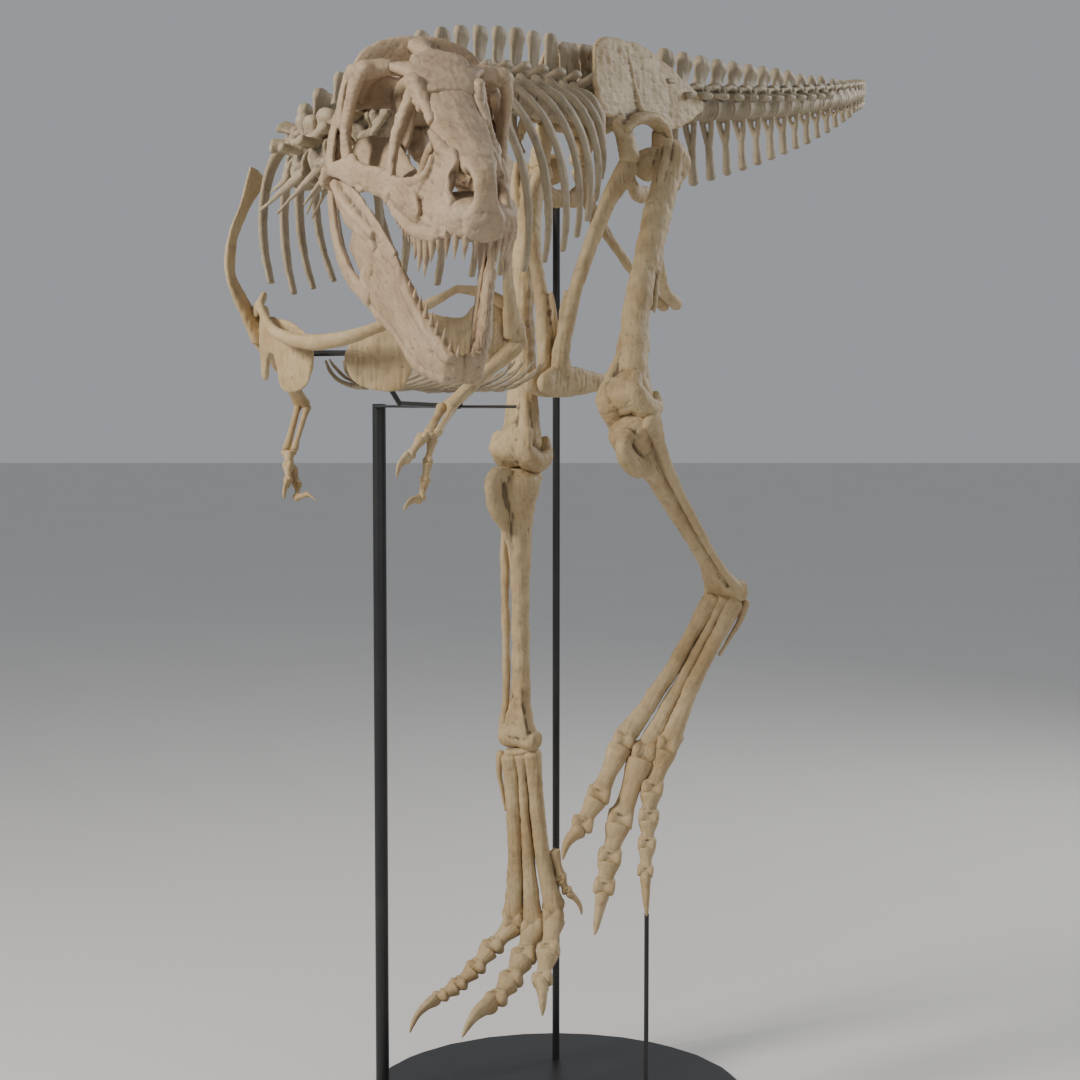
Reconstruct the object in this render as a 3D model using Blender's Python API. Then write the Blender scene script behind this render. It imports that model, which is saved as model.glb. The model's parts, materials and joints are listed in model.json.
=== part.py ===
"""Mounted skeleton of a young tyrannosaur, life size, on its museum stand.

Metres, +Z up. The animal faces -Y and its left side is +X. The origin is the centre
of the round floor plate's underside. Each bone is a closed solid; bones that meet keep
a 0.3 mm gap, cut into one of the two.
"""
import math

import bmesh
import bpy
import numpy as np
from mathutils import Vector
from mathutils.geometry import tessellate_polygon

GAP = 0.0003
FLAT = 13.0

# Joints (metres)
HIP = {1: (0.160, 0.220, 2.480), -1: (-0.160, 0.220, 2.480)}
KNEE = {1: (0.353, -0.272, 1.811), -1: (-0.068, -0.082, 1.676)}
ANKLE = {1: (0.347, 0.309, 1.347), -1: (-0.137, 0.040, 0.940)}
SHOULDER = {1: (0.345, -0.775, 1.980), -1: (-0.345, -0.775, 2.000)}
ELBOW = {1: (0.272, -0.943, 1.840), -1: (-0.353, -0.624, 1.845)}
WRIST = {1: (0.320, -1.070, 1.790), -1: (-0.321, -0.719, 1.739)}

# Head
JAW_JOINT = (0.383, -1.235, 2.309)
HEAD_YAW, HEAD_PITCH, HEAD_ROLL = math.radians(-45.8), math.radians(16.3), math.radians(-0.9)
JAW_OPEN, JAW_SWING = math.radians(27.0), math.radians(1.5)

# Backbone: centre line of the centra
DORSALS, CERVICALS, SACRALS, CAUDALS = 13, 9, 5, 34
TAIL_CUTS = (0, 12, 23, CAUDALS)
GASTRALIA = 11
TRUNK_PATH = [
    (0, 0.000, 2.615), (0, -0.130, 2.610), (0, -0.300, 2.603), (0, -0.480, 2.585),
    (0, -0.645, 2.555), (0, -0.810, 2.500), (0, -0.960, 2.430), (0, -1.060, 2.375),
]
NECK_PATH = [
    (0, -1.060, 2.375), (0.020, -1.110, 2.345), (0.065, -1.150, 2.335), (0.130, -1.165, 2.352),
    (0.200, -1.155, 2.392), (0.270, -1.150, 2.430), (0.330, -1.185, 2.450), (0.375, -1.226, 2.447),
]
SACRUM_PATH = [(0, 0.535, 2.672), (0, 0.270, 2.640), (0, 0.000, 2.615)]
TAIL_PATH = [
    (0, 0.535, 2.672), (0.032, 0.822, 2.704), (0.053, 1.111, 2.741), (0.056, 1.407, 2.786),
    (0.043, 1.700, 2.836), (0.007, 1.962, 2.885), (-0.066, 2.226, 2.934), (-0.185, 2.555, 2.985),
    (-0.339, 2.934, 3.038), (-0.520, 3.356, 3.097), (-0.640, 3.620, 3.130),
]

# Stand
BASE_RADIUS, BASE_THICK = 0.500, 0.020
POST_AT, POST_RADIUS = (-0.400, -0.235), 0.0175
CRADLE_Z = 1.842
HIP_ROD_AT, HIP_ROD_RADIUS = (-0.137, 0.233), 0.010
FOOT_ROD_RADIUS = 0.006

MATERIALS = {
    "skull_bone": (0.40, 0.29, 0.19),
    "limb_bone": (0.46, 0.34, 0.19),
    "trunk_bone": (0.30, 0.25, 0.17),
    "stand_black": (0.015, 0.015, 0.016),
}


def curve(points, count):
    """Even samples of a Catmull-Rom spline through the rows of points."""
    p = np.array(points, float)
    p = np.vstack([2 * p[0] - p[1], p, 2 * p[-1] - p[-2]])
    t = np.linspace(0, 1, 12, endpoint=False)[:, None]
    rows = []
    for a, b, c, d in zip(p[:-3], p[1:-2], p[2:-1], p[3:]):
        rows.append(0.5 * (2 * b + (c - a) * t + (2 * a - 5 * b + 4 * c - d) * t**2
                           + (3 * b - a - 3 * c + d) * t**3))
    fine = np.vstack(rows + [p[-2:-1]])
    run = np.r_[0, np.cumsum(np.linalg.norm(np.diff(fine[:, :3], axis=0), axis=1))]
    even = np.linspace(0, run[-1], count)
    return np.stack([np.interp(even, run, fine[:, j]) for j in range(fine.shape[1])], 1)


def unit(v):
    v = np.asarray(v, float)
    return v / np.linalg.norm(v, axis=-1, keepdims=True)


def outward(verts, faces):
    """The faces, turned round if the solid's signed volume is negative."""
    v = np.asarray(verts)
    volume = 0.0
    for f in faces:
        for j in range(1, len(f) - 1):
            volume += np.dot(v[f[0]], np.cross(v[f[j]], v[f[j + 1]]))
    return faces if volume > 0 else [tuple(reversed(f)) for f in faces]


def tube(rows, sides, wide, dome=0.5):
    """Closed solid through rows of (x, y, z, half width along wide, other half width)."""
    rows = np.array(rows, float)
    path = rows[:, :3]
    along = unit(np.gradient(path, axis=0))
    u = np.asarray(wide, float) - along * (along @ np.asarray(wide, float))[:, None]
    u = unit(u)
    w = np.cross(along, u)
    turn = (np.arange(sides) + 0.5) * 2 * math.pi / sides
    if sides == 4:
        rows = rows * np.array((1, 1, 1, 1.25, 1.25))
    ring = (path[:, None] + np.cos(turn)[None, :, None] * rows[:, 3, None, None] * u[:, None]
            + np.sin(turn)[None, :, None] * rows[:, 4, None, None] * w[:, None])
    verts = [tuple(p) for p in ring.reshape(-1, 3)]
    verts.append(tuple(path[0] - along[0] * min(rows[0, 3:5]) * dome))
    verts.append(tuple(path[-1] + along[-1] * min(rows[-1, 3:5]) * dome))
    n = len(rows)
    faces = []
    for i in range(n - 1):
        for j in range(sides):
            k = (j + 1) % sides
            faces.append((i * sides + j, i * sides + k, (i + 1) * sides + k, (i + 1) * sides + j))
    for j in range(sides):
        k = (j + 1) % sides
        faces.append((n * sides, k, j))
        faces.append((n * sides + 1, (n - 1) * sides + j, (n - 1) * sides + k))
    return verts, outward(verts, faces)


def bone(points, count=6, sides=8, wide=(1, 0, 0), dome=0.5):
    return tube(curve(points, count), sides, wide, dome)


def ball(centre, radii, sides=8):
    """Rounded lump from three rings."""
    x, y, z = centre
    a, b, c = radii
    rows = [(x, y, z + c * math.sin(t), a * math.cos(t), b * math.cos(t)) for t in (-0.85, 0, 0.85)]
    return tube(rows, sides, (1, 0, 0), dome=0.35)


def slab(outline, place, thick):
    """Plate of even thickness; place(u, v, across) gives a point in space."""
    n = len(outline)
    flat = [Vector((u, v, 0)) for u, v in outline]
    tris = tessellate_polygon([flat])
    verts = [tuple(place(u, v, thick / 2)) for u, v in outline]
    verts += [tuple(place(u, v, -thick / 2)) for u, v in outline]
    area = sum(outline[k - 1][0] * outline[k][1] - outline[k][0] * outline[k - 1][1] for k in range(n))
    faces = []
    for a, b, c in tris:
        twist = ((outline[b][0] - outline[a][0]) * (outline[c][1] - outline[a][1])
                 - (outline[c][0] - outline[a][0]) * (outline[b][1] - outline[a][1]))
        if twist * area < 0:
            b, c = c, b
        faces.append((a, b, c))
        faces.append((n + c, n + b, n + a))
    for k in range(n):
        m = (k + 1) % n
        faces.append((k, n + k, n + m, m))
    return verts, outward(verts, faces)


def material(name):
    mat = bpy.data.materials.get(name)
    if mat is None:
        mat = bpy.data.materials.new(name)
        mat.use_nodes = True
        shade = mat.node_tree.nodes["Principled BSDF"]
        shade.inputs["Base Color"].default_value = (*MATERIALS[name], 1.0)
        shade.inputs["Roughness"].default_value = 0.35 if name == "stand_black" else 0.7
    return mat


def mesh_object(name, verts, faces):
    mesh = bpy.data.meshes.new(name)
    mesh.from_pydata([tuple(map(float, v)) for v in verts], [], faces)
    mesh.validate()
    obj = bpy.data.objects.new(name, mesh)
    bpy.context.scene.collection.objects.link(obj)
    return obj


def tidied(source, flat):
    """Weld, merge flat areas, keep the largest closed surface; None if it isn't closed."""
    bm = bmesh.new()
    bm.from_mesh(source)
    bmesh.ops.remove_doubles(bm, verts=bm.verts, dist=0.000002)
    if flat:
        bmesh.ops.dissolve_limit(bm, angle_limit=math.radians(flat), verts=bm.verts, edges=bm.edges)
    bmesh.ops.dissolve_degenerate(bm, edges=bm.edges, dist=0.000002)
    bmesh.ops.triangulate(bm, faces=bm.faces)
    left = dict.fromkeys(bm.faces)
    parts = []
    while left:
        seed = next(iter(left))
        del left[seed]
        part, stack = [seed], [seed]
        while stack:
            for edge in stack.pop().edges:
                for face in edge.link_faces:
                    if face in left:
                        del left[face]
                        part.append(face)
                        stack.append(face)
        parts.append(part)

    def reach(part):
        lo = [min(v.co[a] for f in part for v in f.verts) for a in range(3)]
        hi = [max(v.co[a] for f in part for v in f.verts) for a in range(3)]
        return math.dist(lo, hi)

    parts.sort(key=reach, reverse=True)
    drop = [f for part in parts[1:] for f in part]
    if drop:
        bmesh.ops.delete(bm, geom=drop, context="FACES")
    bmesh.ops.recalc_face_normals(bm, faces=bm.faces)
    closed = all(len(edge.link_faces) == 2 for edge in bm.edges)
    mesh = bpy.data.meshes.new("solid")
    bm.to_mesh(mesh)
    bm.free()
    return mesh, closed


def boolean(obj, others, how):
    """Apply one Boolean of obj with a collection of closed meshes, then remove those."""
    group = bpy.data.collections.new("tools")
    bpy.context.scene.collection.children.link(group)
    for other in others:
        group.objects.link(other)
    mod = obj.modifiers.new("bool", "BOOLEAN")
    mod.operation = how
    mod.operand_type = "COLLECTION"
    mod.collection = group
    flats = (FLAT, 3.0, 0.0) if how == "UNION" else (0.5, 0.0)
    for solver, flat in [(s, f) for f in flats for s in ("EXACT", "MANIFOLD")]:
        mod.solver = solver
        graph = bpy.context.evaluated_depsgraph_get()
        raw = bpy.data.meshes.new_from_object(obj.evaluated_get(graph))
        mesh, closed = tidied(raw, flat)
        bpy.data.meshes.remove(raw)
        if closed:
            break
    obj.modifiers.clear()
    obj.data = mesh
    for other in list(group.objects):
        bpy.data.objects.remove(other)
    bpy.data.collections.remove(group)


NODES = {}


def thin_out(obj, share):
    """Collapse short edges, as long as the surface stays closed."""
    mod = obj.modifiers.new("decimate", "DECIMATE")
    mod.ratio = share
    graph = bpy.context.evaluated_depsgraph_get()
    raw = bpy.data.meshes.new_from_object(obj.evaluated_get(graph))
    mesh, closed = tidied(raw, 0.0)
    bpy.data.meshes.remove(raw)
    obj.modifiers.clear()
    if closed:
        obj.data = mesh


def fuse(name, pieces, slot, share=0.85):
    """One closed node from overlapping closed pieces."""
    objects = [mesh_object(name + "_piece", v, f) for v, f in pieces]
    first = objects[0]
    if len(objects) > 1:
        boolean(first, objects[1:], "UNION")
    if share < 1.0:
        thin_out(first, share)
    first.name = name
    first.data.name = name
    first.data.materials.clear()
    first.data.materials.append(material(slot))
    first.data.polygons.foreach_set("material_index", [0] * len(first.data.polygons))
    NODES[name] = first
    return first


def grown(obj, by):
    """Copy of a solid with every face moved outward by the same distance."""
    bm = bmesh.new()
    bm.from_mesh(obj.data)
    bm.normal_update()
    for v in bm.verts:
        normals = np.array([f.normal for f in v.link_faces if f.calc_area() > 1e-10])
        step = np.linalg.lstsq(normals, np.full(len(normals), by), rcond=0.15)[0]
        v.co += Vector(step * min(1.0, 3 * by / max(np.linalg.norm(step), 1e-9)))
    mesh = bpy.data.meshes.new("grown")
    bm.to_mesh(mesh)
    bm.free()
    copy = bpy.data.objects.new("grown", mesh)
    bpy.context.scene.collection.objects.link(copy)
    return copy


def carve(name, others):
    """Cut a node clear of its neighbours by the gap."""
    for other in others:
        boolean(NODES[name], [grown(NODES[other], GAP * 1.3)], "DIFFERENCE")


def keep_side(name, side):
    """Keep the half of a node on one side of the middle plane, half a gap off it."""
    x0, x1 = (GAP / 2, 2.0) if side > 0 else (-2.0, -GAP / 2)
    box = slab([(x0, -3), (x1, -3), (x1, 5), (x0, 5)], lambda u, v, w: (u, v, 1.5 + w), 6.0)
    boolean(NODES[name], [mesh_object("half", *box)], "INTERSECT")


# Spine

def spine_frame(path, count):
    """Points and directions at count+1 vertebra ends along a path."""
    fine = curve(path, count * 2 + 1)
    along = unit(np.gradient(fine, axis=0))
    return fine, along


def column(path, count, end_r, mid_r, sides=8):
    """Spool-shaped centra in one row: wide at the joints, narrow in the middle."""
    fine, along = spine_frame(path, count)
    rows = []
    for k, p in enumerate(fine):
        t = k / (len(fine) - 1)
        end = end_r[0] + (end_r[1] - end_r[0]) * t
        r = end if k % 2 == 0 else end * mid_r
        rows.append((*p, r, r * 1.06))
    return tube(rows, sides, (1, 0, 0), dome=0.2)


def up_blade(p, height, lean, long, thick, base=0.02):
    """Neural spine: a flat blade standing on a vertebra."""
    x, y, z = p
    rows = [(x, y, z + base, thick * 2.4, long * 1.1),
            (x, y + lean * 0.35, z + base + (height - base) * 0.35, thick, long * 0.85),
            (x, y + lean, z + height, thick * 1.2, long)]
    return tube(rows, 4, (1, 0, 0), dome=0.3)


def side_process(p, side, reach, rise, back, long, thick, root=0.012):
    x, y, z = p
    rows = [(x + side * root, y, z, long, thick * 1.4),
            (x + side * (root + reach) * 0.6, y + back * 0.5, z + rise * 0.6, long * 0.8, thick),
            (x + side * reach, y + back, z + rise, long * 0.7, thick)]
    return tube(rows[::2], 4, (0, 1, 0), dome=0.4)


RIB_WIDE = (0.155, 0.165, 0.195, 0.22, 0.235, 0.24, 0.24, 0.235, 0.225, 0.21, 0.19, 0.165, 0.13)
RIB_DROP = (0.34, 0.40, 0.42, 0.43, 0.45, 0.46, 0.45, 0.43, 0.40, 0.36, 0.31, 0.25, 0.17)
RIB_BACK = (0.00, 0.02, 0.05, 0.08, 0.10, 0.12, 0.13, 0.14, 0.14, 0.13, 0.12, 0.10, 0.06)


def rib(p, side, k):
    """Rib k from the front: an arc out from the vertebra and down."""
    wide, drop, back = RIB_WIDE[k], RIB_DROP[k], RIB_BACK[k]
    rows = []
    for t in (0.0, 0.18, 0.38, 0.6, 0.8, 1.0):
        a = t * 2.15
        x = 0.004 + (wide - 0.004) * math.sin(a) ** 0.85 if a > 0 else 0.004
        z = 0.022 + 0.045 * math.sin(a) - drop * (1 - math.cos(a)) / (1 - math.cos(2.15))
        rows.append((p[0] + side * x, p[1] + back * t**1.3, p[2] + z,
                     0.0150 - 0.005 * t, 0.0080 - 0.002 * t))
    return bone(rows, 8, 4, (0, 1, 0))


def build_trunk():
    fine, _ = spine_frame(TRUNK_PATH, DORSALS)
    for side, name in ((1, "torso_left"), (-1, "torso_right")):
        pieces = [column(TRUNK_PATH, DORSALS, (0.046, 0.038), 0.72)]
        for k in range(DORSALS):
            p = fine[2 * k + 1]
            front = k / (DORSALS - 1)
            height = 0.182 - 0.052 * front
            pieces.append(up_blade(p, height, 0.012, 0.026 - 0.004 * front, 0.0085))
            pieces.append(rib(p, side, DORSALS - 1 - k))
        fuse(name, pieces, "trunk_bone", 0.7)
        keep_side(name, side)


def build_neck():
    fine, along = spine_frame(NECK_PATH, CERVICALS)
    pieces = [column(NECK_PATH, CERVICALS, (0.040, 0.032), 0.82, 6)]
    for k in range(CERVICALS):
        p, d = fine[2 * k + 1], along[2 * k + 1]
        pieces.append(up_blade(p, 0.115 - 0.045 * k / 8, 0.0, 0.020, 0.009))
        across = unit(np.cross(d, (0, 0, 1)))
        for side in (1, -1):
            out = across * side
            q = p + out * 0.02 + np.array((0, 0, 0.02))
            tip = p + out * 0.065 + np.array((0, 0, 0.028))
            pieces.append(tube([(*q, 0.016, 0.009), (*tip, 0.013, 0.006)], 4, d))
            a = p + out * 0.025 - np.array((0, 0, 0.015))
            b = a + out * 0.035 - np.array((0, 0, 0.03)) - d * 0.02
            c = b - d * 0.11 - np.array((0, 0, 0.03))
            if k < CERVICALS - 1:
                pieces.append(tube([(*a, 0.008, 0.006), (*c, 0.003, 0.002)], 4, (0, 0, 1)))
    fuse("neck", pieces, "trunk_bone", 0.7)


def build_sacrum():
    fine, _ = spine_frame(SACRUM_PATH, SACRALS)
    pieces = [column(SACRUM_PATH, SACRALS, (0.044, 0.046), 0.86)]
    for k in range(SACRALS):
        p = fine[2 * k + 1]
        pieces.append(up_blade(p, 0.165, 0.004, 0.045, 0.006))
        for side in (1, -1):
            pieces.append(side_process(p, side, 0.090, 0.03, 0, 0.026, 0.016))
    fuse("sacrum", pieces, "trunk_bone", 0.75)


def build_tail():
    """Three lengths of tail. Spines stand on every vertebra, chevrons hang between them."""
    fine, _ = spine_frame(TAIL_PATH, CAUDALS)
    for name, first, last in zip(("tail_base", "tail_middle", "tail_tip"), TAIL_CUTS, TAIL_CUTS[1:]):
        rows = []
        for j in range(2 * first, 2 * last + 1):
            r = tail_radius(j / 2) * (1.0 if j % 2 == 0 else 0.74)
            rows.append((*fine[j], r, r))
        pieces = [tube(rows, 8 if first == 0 else 6, (1, 0, 0), dome=0.1)]
        for k in range(first, last):
            p, r = fine[2 * k + 1], tail_radius(k)
            tall = max(0.165 - 0.0075 * k, 0.02 + r * 0.7) if k < 20 else r * 1.5
            lean = 0.025 if k < 12 else 0.04 if k < 22 else 0.02
            pieces.append(up_blade(p, tall, lean, 0.020 if k < 12 else 0.016,
                                   max(0.0085 - 0.0002 * k, 0.0025), r * 0.4))
            if k < 12:
                for side in (1, -1):
                    root = (p[0], p[1], p[2] + 0.01)
                    pieces.append(side_process(root, side, 0.105 - 0.006 * k, 0.005, 0.02, 0.017, 0.007))
            if 1 <= k < 26:
                x, y, z = fine[2 * k]
                low = max(0.235 - 0.0115 * k if k < 16 else 0.051 - 0.001 * (k - 16), r + 0.014)
                pieces.append(tube([(x, y, z - r * 0.7, 0.009, 0.009),
                                    (x, y + 0.03, z - low, 0.006, 0.016 if k < 14 else 0.02)], 4,
                                    (1, 0, 0)))
        fuse(name, pieces, "trunk_bone", 0.66)


def tail_radius(k):
    """Half width of the tail's centra at vertebra k."""
    return 0.046 - 0.036 * (k / CAUDALS) ** 0.9


# Hips

ILIUM = [
    (-0.010, 2.560), (0.020, 2.665), (0.045, 2.755), (0.110, 2.800), (0.300, 2.815), (0.450, 2.790),
    (0.600, 2.740), (0.665, 2.702), (0.640, 2.655), (0.520, 2.602), (0.405, 2.565), (0.372, 2.505),
    (0.325, 2.500), (0.300, 2.552), (0.250, 2.570), (0.195, 2.545), (0.175, 2.475), (0.110, 2.462),
    (0.085, 2.520), (0.060, 2.572), (0.030, 2.500), (0.005, 2.498),
]


def ilium_place(side):
    """Blade: leans in at the top, flares out over the hip socket."""
    def place(u, v, w):
        low = max(0.0, min(1.0, (2.815 - v) / 0.33))
        return (side * (0.062 + 0.075 * low + w), u, v)
    return place


def build_hips():
    for side, tag in ((1, "left"), (-1, "right")):
        place = ilium_place(side)
        pieces = [slab(ILIUM, place, 0.018)]
        pieces.append(ball((side * 0.137, 0.345, 2.525), (0.026, 0.034, 0.035)))
        pieces.append(ball((side * 0.137, 0.140, 2.490), (0.026, 0.036, 0.032)))
        pieces.append(tube([(side * 0.125, 0.16, 2.585, 0.02, 0.018),
                            (side * 0.14, 0.25, 2.60, 0.028, 0.016),
                            (side * 0.125, 0.36, 2.57, 0.02, 0.018)], 6, (1, 0, 0)))
        fuse("ilium_" + tag, pieces, "limb_bone")
        boot = [(-0.125, 1.895), (-0.100, 1.930), (-0.050, 1.945), (0.010, 1.950), (0.120, 1.935),
                (0.250, 1.925), (0.285, 1.915), (0.280, 1.900), (0.180, 1.880), (0.050, 1.865),
                (-0.070, 1.868)]
        pubis = [bone([(side * 0.130, 0.150, 2.470, 0.022, 0.034),
                       (side * 0.110, 0.070, 2.370, 0.017, 0.028),
                       (side * 0.080, 0.022, 2.240, 0.015, 0.021),
                       (side * 0.045, 0.000, 2.110, 0.018, 0.019),
                       (side * 0.018, -0.020, 1.990, 0.022, 0.024),
                       (side * 0.012, -0.010, 1.910, 0.020, 0.040)],
                      9, 8),
                 slab(boot, lambda u, v, w, s=side: (s * 0.010 + w, u, v), 0.036),
                 tube([(side * 0.015, -0.095, 1.900, 0.020, 0.030),
                       (side * 0.015, -0.050, 1.905, 0.024, 0.034)],
                      8, (1, 0, 0)),
                 slab([(-0.03, 1.95), (-0.012, 2.13), (0.010, 2.13), (0.010, 1.93)],
                      lambda u, v, w, s=side: (s * 0.012 + w, u, v), 0.03),
                 tube([(side * 0.130, 0.150, 2.440, 0.014, 0.022),
                       (side * 0.125, 0.220, 2.400, 0.010, 0.024),
                       (side * 0.125, 0.270, 2.405, 0.010, 0.022)], 6, (1, 0, 0))]
        fuse("pubis_" + tag, pubis, "limb_bone")
        keep_side("pubis_" + tag, side)
        ischium = [bone([(side * 0.130, 0.350, 2.490, 0.020, 0.030),
                         (side * 0.115, 0.370, 2.410, 0.013, 0.030),
                         (side * 0.080, 0.420, 2.320, 0.011, 0.020),
                         (side * 0.045, 0.490, 2.230, 0.012, 0.014),
                         (side * 0.018, 0.570, 2.165, 0.016, 0.014),
                         (side * 0.012, 0.650, 2.130, 0.014, 0.018)],
                        8, 8),
                   tube([(side * 0.125, 0.345, 2.43, 0.010, 0.024),
                         (side * 0.125, 0.268, 2.40, 0.010, 0.022)],
                        6, (1, 0, 0))]
        fuse("ischium_" + tag, ischium, "limb_bone")
        keep_side("ischium_" + tag, side)


# Limbs

def limb(a, b, forward, side):
    """place(t, f, l): t metres down from a to b, f forward, l outward."""
    a, b = np.array(a, float), np.array(b, float)
    down = unit(b - a)
    fwd = np.array(forward, float)
    fwd = unit(fwd - down * (fwd @ down))
    out = np.cross(down, fwd)
    if out[0] * side < 0:
        out = -out
    length = float(np.linalg.norm(b - a))

    def place(t, f, l):
        return a + down * t + fwd * f + out * l
    return place, length, down, fwd, out


def rows_in(place, rows):
    return [(*place(t, f, l), a, b) for t, f, l, a, b in rows]


def build_leg(side, tag):
    place, size, down, fwd, out = limb(HIP[side], KNEE[side], (0, -1, 0), side)
    femur = [
        bone(rows_in(place, [(0.000, 0, 0.060, 0.040, 0.034), (0.100, 0.004, 0.058, 0.040, 0.034),
                             (0.250, 0.016, 0.040, 0.034, 0.035), (0.450, 0.024, 0.018, 0.032, 0.036),
                             (0.640, 0.010, 0.004, 0.038, 0.038), (size - 0.060, 0, 0, 0.056, 0.042)]), 8,
                             10, out),
        tube(rows_in(place, [(0.002, 0, -0.020, 0.036, 0.036), (0.004, 0, 0.012, 0.042, 0.040),
                             (0.010, 0, 0.060, 0.034, 0.030)]), 8, down, dome=0.6),
        tube(rows_in(place, [(-0.018, -0.006, 0.080, 0.020, 0.040), (0.050, -0.002, 0.086, 0.016, 0.034)]),
             6, out),
        tube(rows_in(place, [(-0.010, 0.034, 0.075, 0.012, 0.014), (0.110, 0.036, 0.060, 0.010, 0.010)]), 6,
             out),
        tube(rows_in(place, [(0.230, -0.030, 0.026, 0.009, 0.012), (0.290, -0.040, 0.018, 0.009, 0.014),
                             (0.350, -0.026, 0.014, 0.009, 0.012)]), 6, out),
    ]
    for l, drop in ((-0.038, 0.0), (0.036, -0.006)):
        femur.append(bone(rows_in(place, [(size - 0.056, 0.030, l, 0.030, 0.034),
                                          (size - 0.038 + drop, 0.0, l, 0.034, 0.044),
                                          (size - 0.050, -0.052, l, 0.028, 0.036)]), 4, 8, out))
    fuse("femur_" + tag, femur, "limb_bone")

    place, size, down, fwd, out = limb(KNEE[side], ANKLE[side], (0, -1, 0), side)
    shin = [
        bone(rows_in(place, [(0.030, -0.010, -0.006, 0.054, 0.056), (0.080, -0.004, -0.008, 0.044, 0.050),
                             (0.180, 0.004, -0.008, 0.030, 0.034), (0.380, 0.004, -0.006, 0.026, 0.025),
                             (0.580, 0.000, -0.004, 0.028, 0.024), (0.680, 0.000, 0.000, 0.042, 0.026),
                             (size - 0.035, 0.004, 0.000, 0.056, 0.030)]), 10, 10, out),
        slab([(0.005, 0.03), (-0.010, 0.075), (0.010, 0.105), (0.060, 0.100), (0.130, 0.062),
              (0.210, 0.020), (0.10, 0.0)],
             lambda u, v, w: place(u, v, 0.016 + w + v * 0.12), 0.026),
        tube(rows_in(place, [(size - 0.012, 0.004, -0.058, 0.028, 0.026),
                             (size - 0.020, 0.004, 0.0, 0.022, 0.022),
                             (size - 0.012, 0.004, 0.058, 0.026, 0.024)]), 8, fwd, dome=0.4),
        slab([(size - 0.02, -0.045), (size - 0.10, -0.018), (size - 0.17, 0.002), (size - 0.10, 0.024),
              (size - 0.02, 0.045)],
             lambda u, v, w: place(u, 0.030 - 0.04 * max(0, size - 0.05 - u) + w, v), 0.012),
        bone(rows_in(place, [(0.020, -0.020, 0.056, 0.018, 0.038), (0.090, -0.008, 0.052, 0.014, 0.026),
                             (0.200, 0.006, 0.044, 0.012, 0.016), (0.450, 0.014, 0.036, 0.011, 0.012),
                             (0.620, 0.014, 0.038, 0.011, 0.011),
                             (size - 0.030, 0.010, 0.050, 0.015, 0.015)]),
             9, 6, out),
    ]
    fuse("shin_" + tag, shin, "limb_bone")


# Ends of the three main metatarsals, then the joints and claw tip of every toe
TOES = {
    1: {
        "ii": [(0.214, -0.040, 0.975), (0.184, -0.118, 0.845), (0.160, -0.158, 0.775),
               (0.132, -0.199, 0.698)],
        "iii": [(0.262, -0.020, 0.945), (0.232, -0.088, 0.780), (0.225, -0.128, 0.690),
                (0.222, -0.150, 0.620),
                (0.214, -0.179, 0.512)],
        "iv": [(0.312, 0.012, 0.960), (0.296, -0.034, 0.858), (0.300, -0.054, 0.790),
               (0.305, -0.072, 0.725),
               (0.308, -0.086, 0.660), (0.322, -0.104, 0.553)],
    },
    -1: {
        "ii": [(-0.059, 0.086, 0.460), (-0.030, 0.004, 0.385), (0.000, -0.080, 0.335),
               (0.034, -0.132, 0.261)],
        "iii": [(-0.108, 0.062, 0.425), (-0.092, -0.026, 0.368), (-0.088, -0.100, 0.325),
                (-0.094, -0.165, 0.290),
                (-0.115, -0.288, 0.224)],
        "iv": [(-0.159, 0.046, 0.440), (-0.202, -0.013, 0.378), (-0.228, -0.055, 0.328),
               (-0.258, -0.094, 0.288),
               (-0.292, -0.132, 0.262), (-0.345, -0.187, 0.172)],
    },
}
# First toe, from the end of metatarsal II: up, inward, back
HALLUX = {
    1: [(0.187, -0.004, 0.030), (0.107, -0.004, 0.046), (0.077, -0.002, 0.054), (0.026, 0.004, 0.084)],
    -1: [(0.187, 0.012, 0.010), (0.107, 0.024, 0.012), (0.077, 0.038, 0.016), (0.026, 0.078, 0.020)],
}
TOE_RADIUS = {"ii": 0.031, "iii": 0.035, "iv": 0.030}


def toe_pieces(points, r0, out, sides=6):
    """Phalanges with swollen ends, then a curved claw."""
    pieces = []
    count = len(points) - 1
    for k in range(count):
        a, b = np.array(points[k], float), np.array(points[k + 1], float)
        r = r0 * (1 - 0.09 * k)
        if k < count - 1:
            d = b - a
            rows = [(*(a + d * t), r * w, r * h) for t, w, h in
                    ((0.02, 1.0, 0.95), (0.50, 0.62, 0.56), (0.86, 0.88, 0.74), (1.02, 0.74, 0.62))]
            pieces.append(tube(rows, sides, out, dome=0.5))
        else:
            d = b - a
            drop = np.array((0, 0, 0.16 * np.linalg.norm(d)))
            rows = [(*(a + d * t + drop * h), r * w, r * w * 1.15) for t, w, h in
                    ((0.0, 0.66, 0.1), (0.35, 0.52, 0.4), (0.7, 0.28, 0.3), (0.98, 0.05, 0.0))]
            pieces.append(tube(rows, sides, out, dome=0.8))
    return pieces


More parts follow.
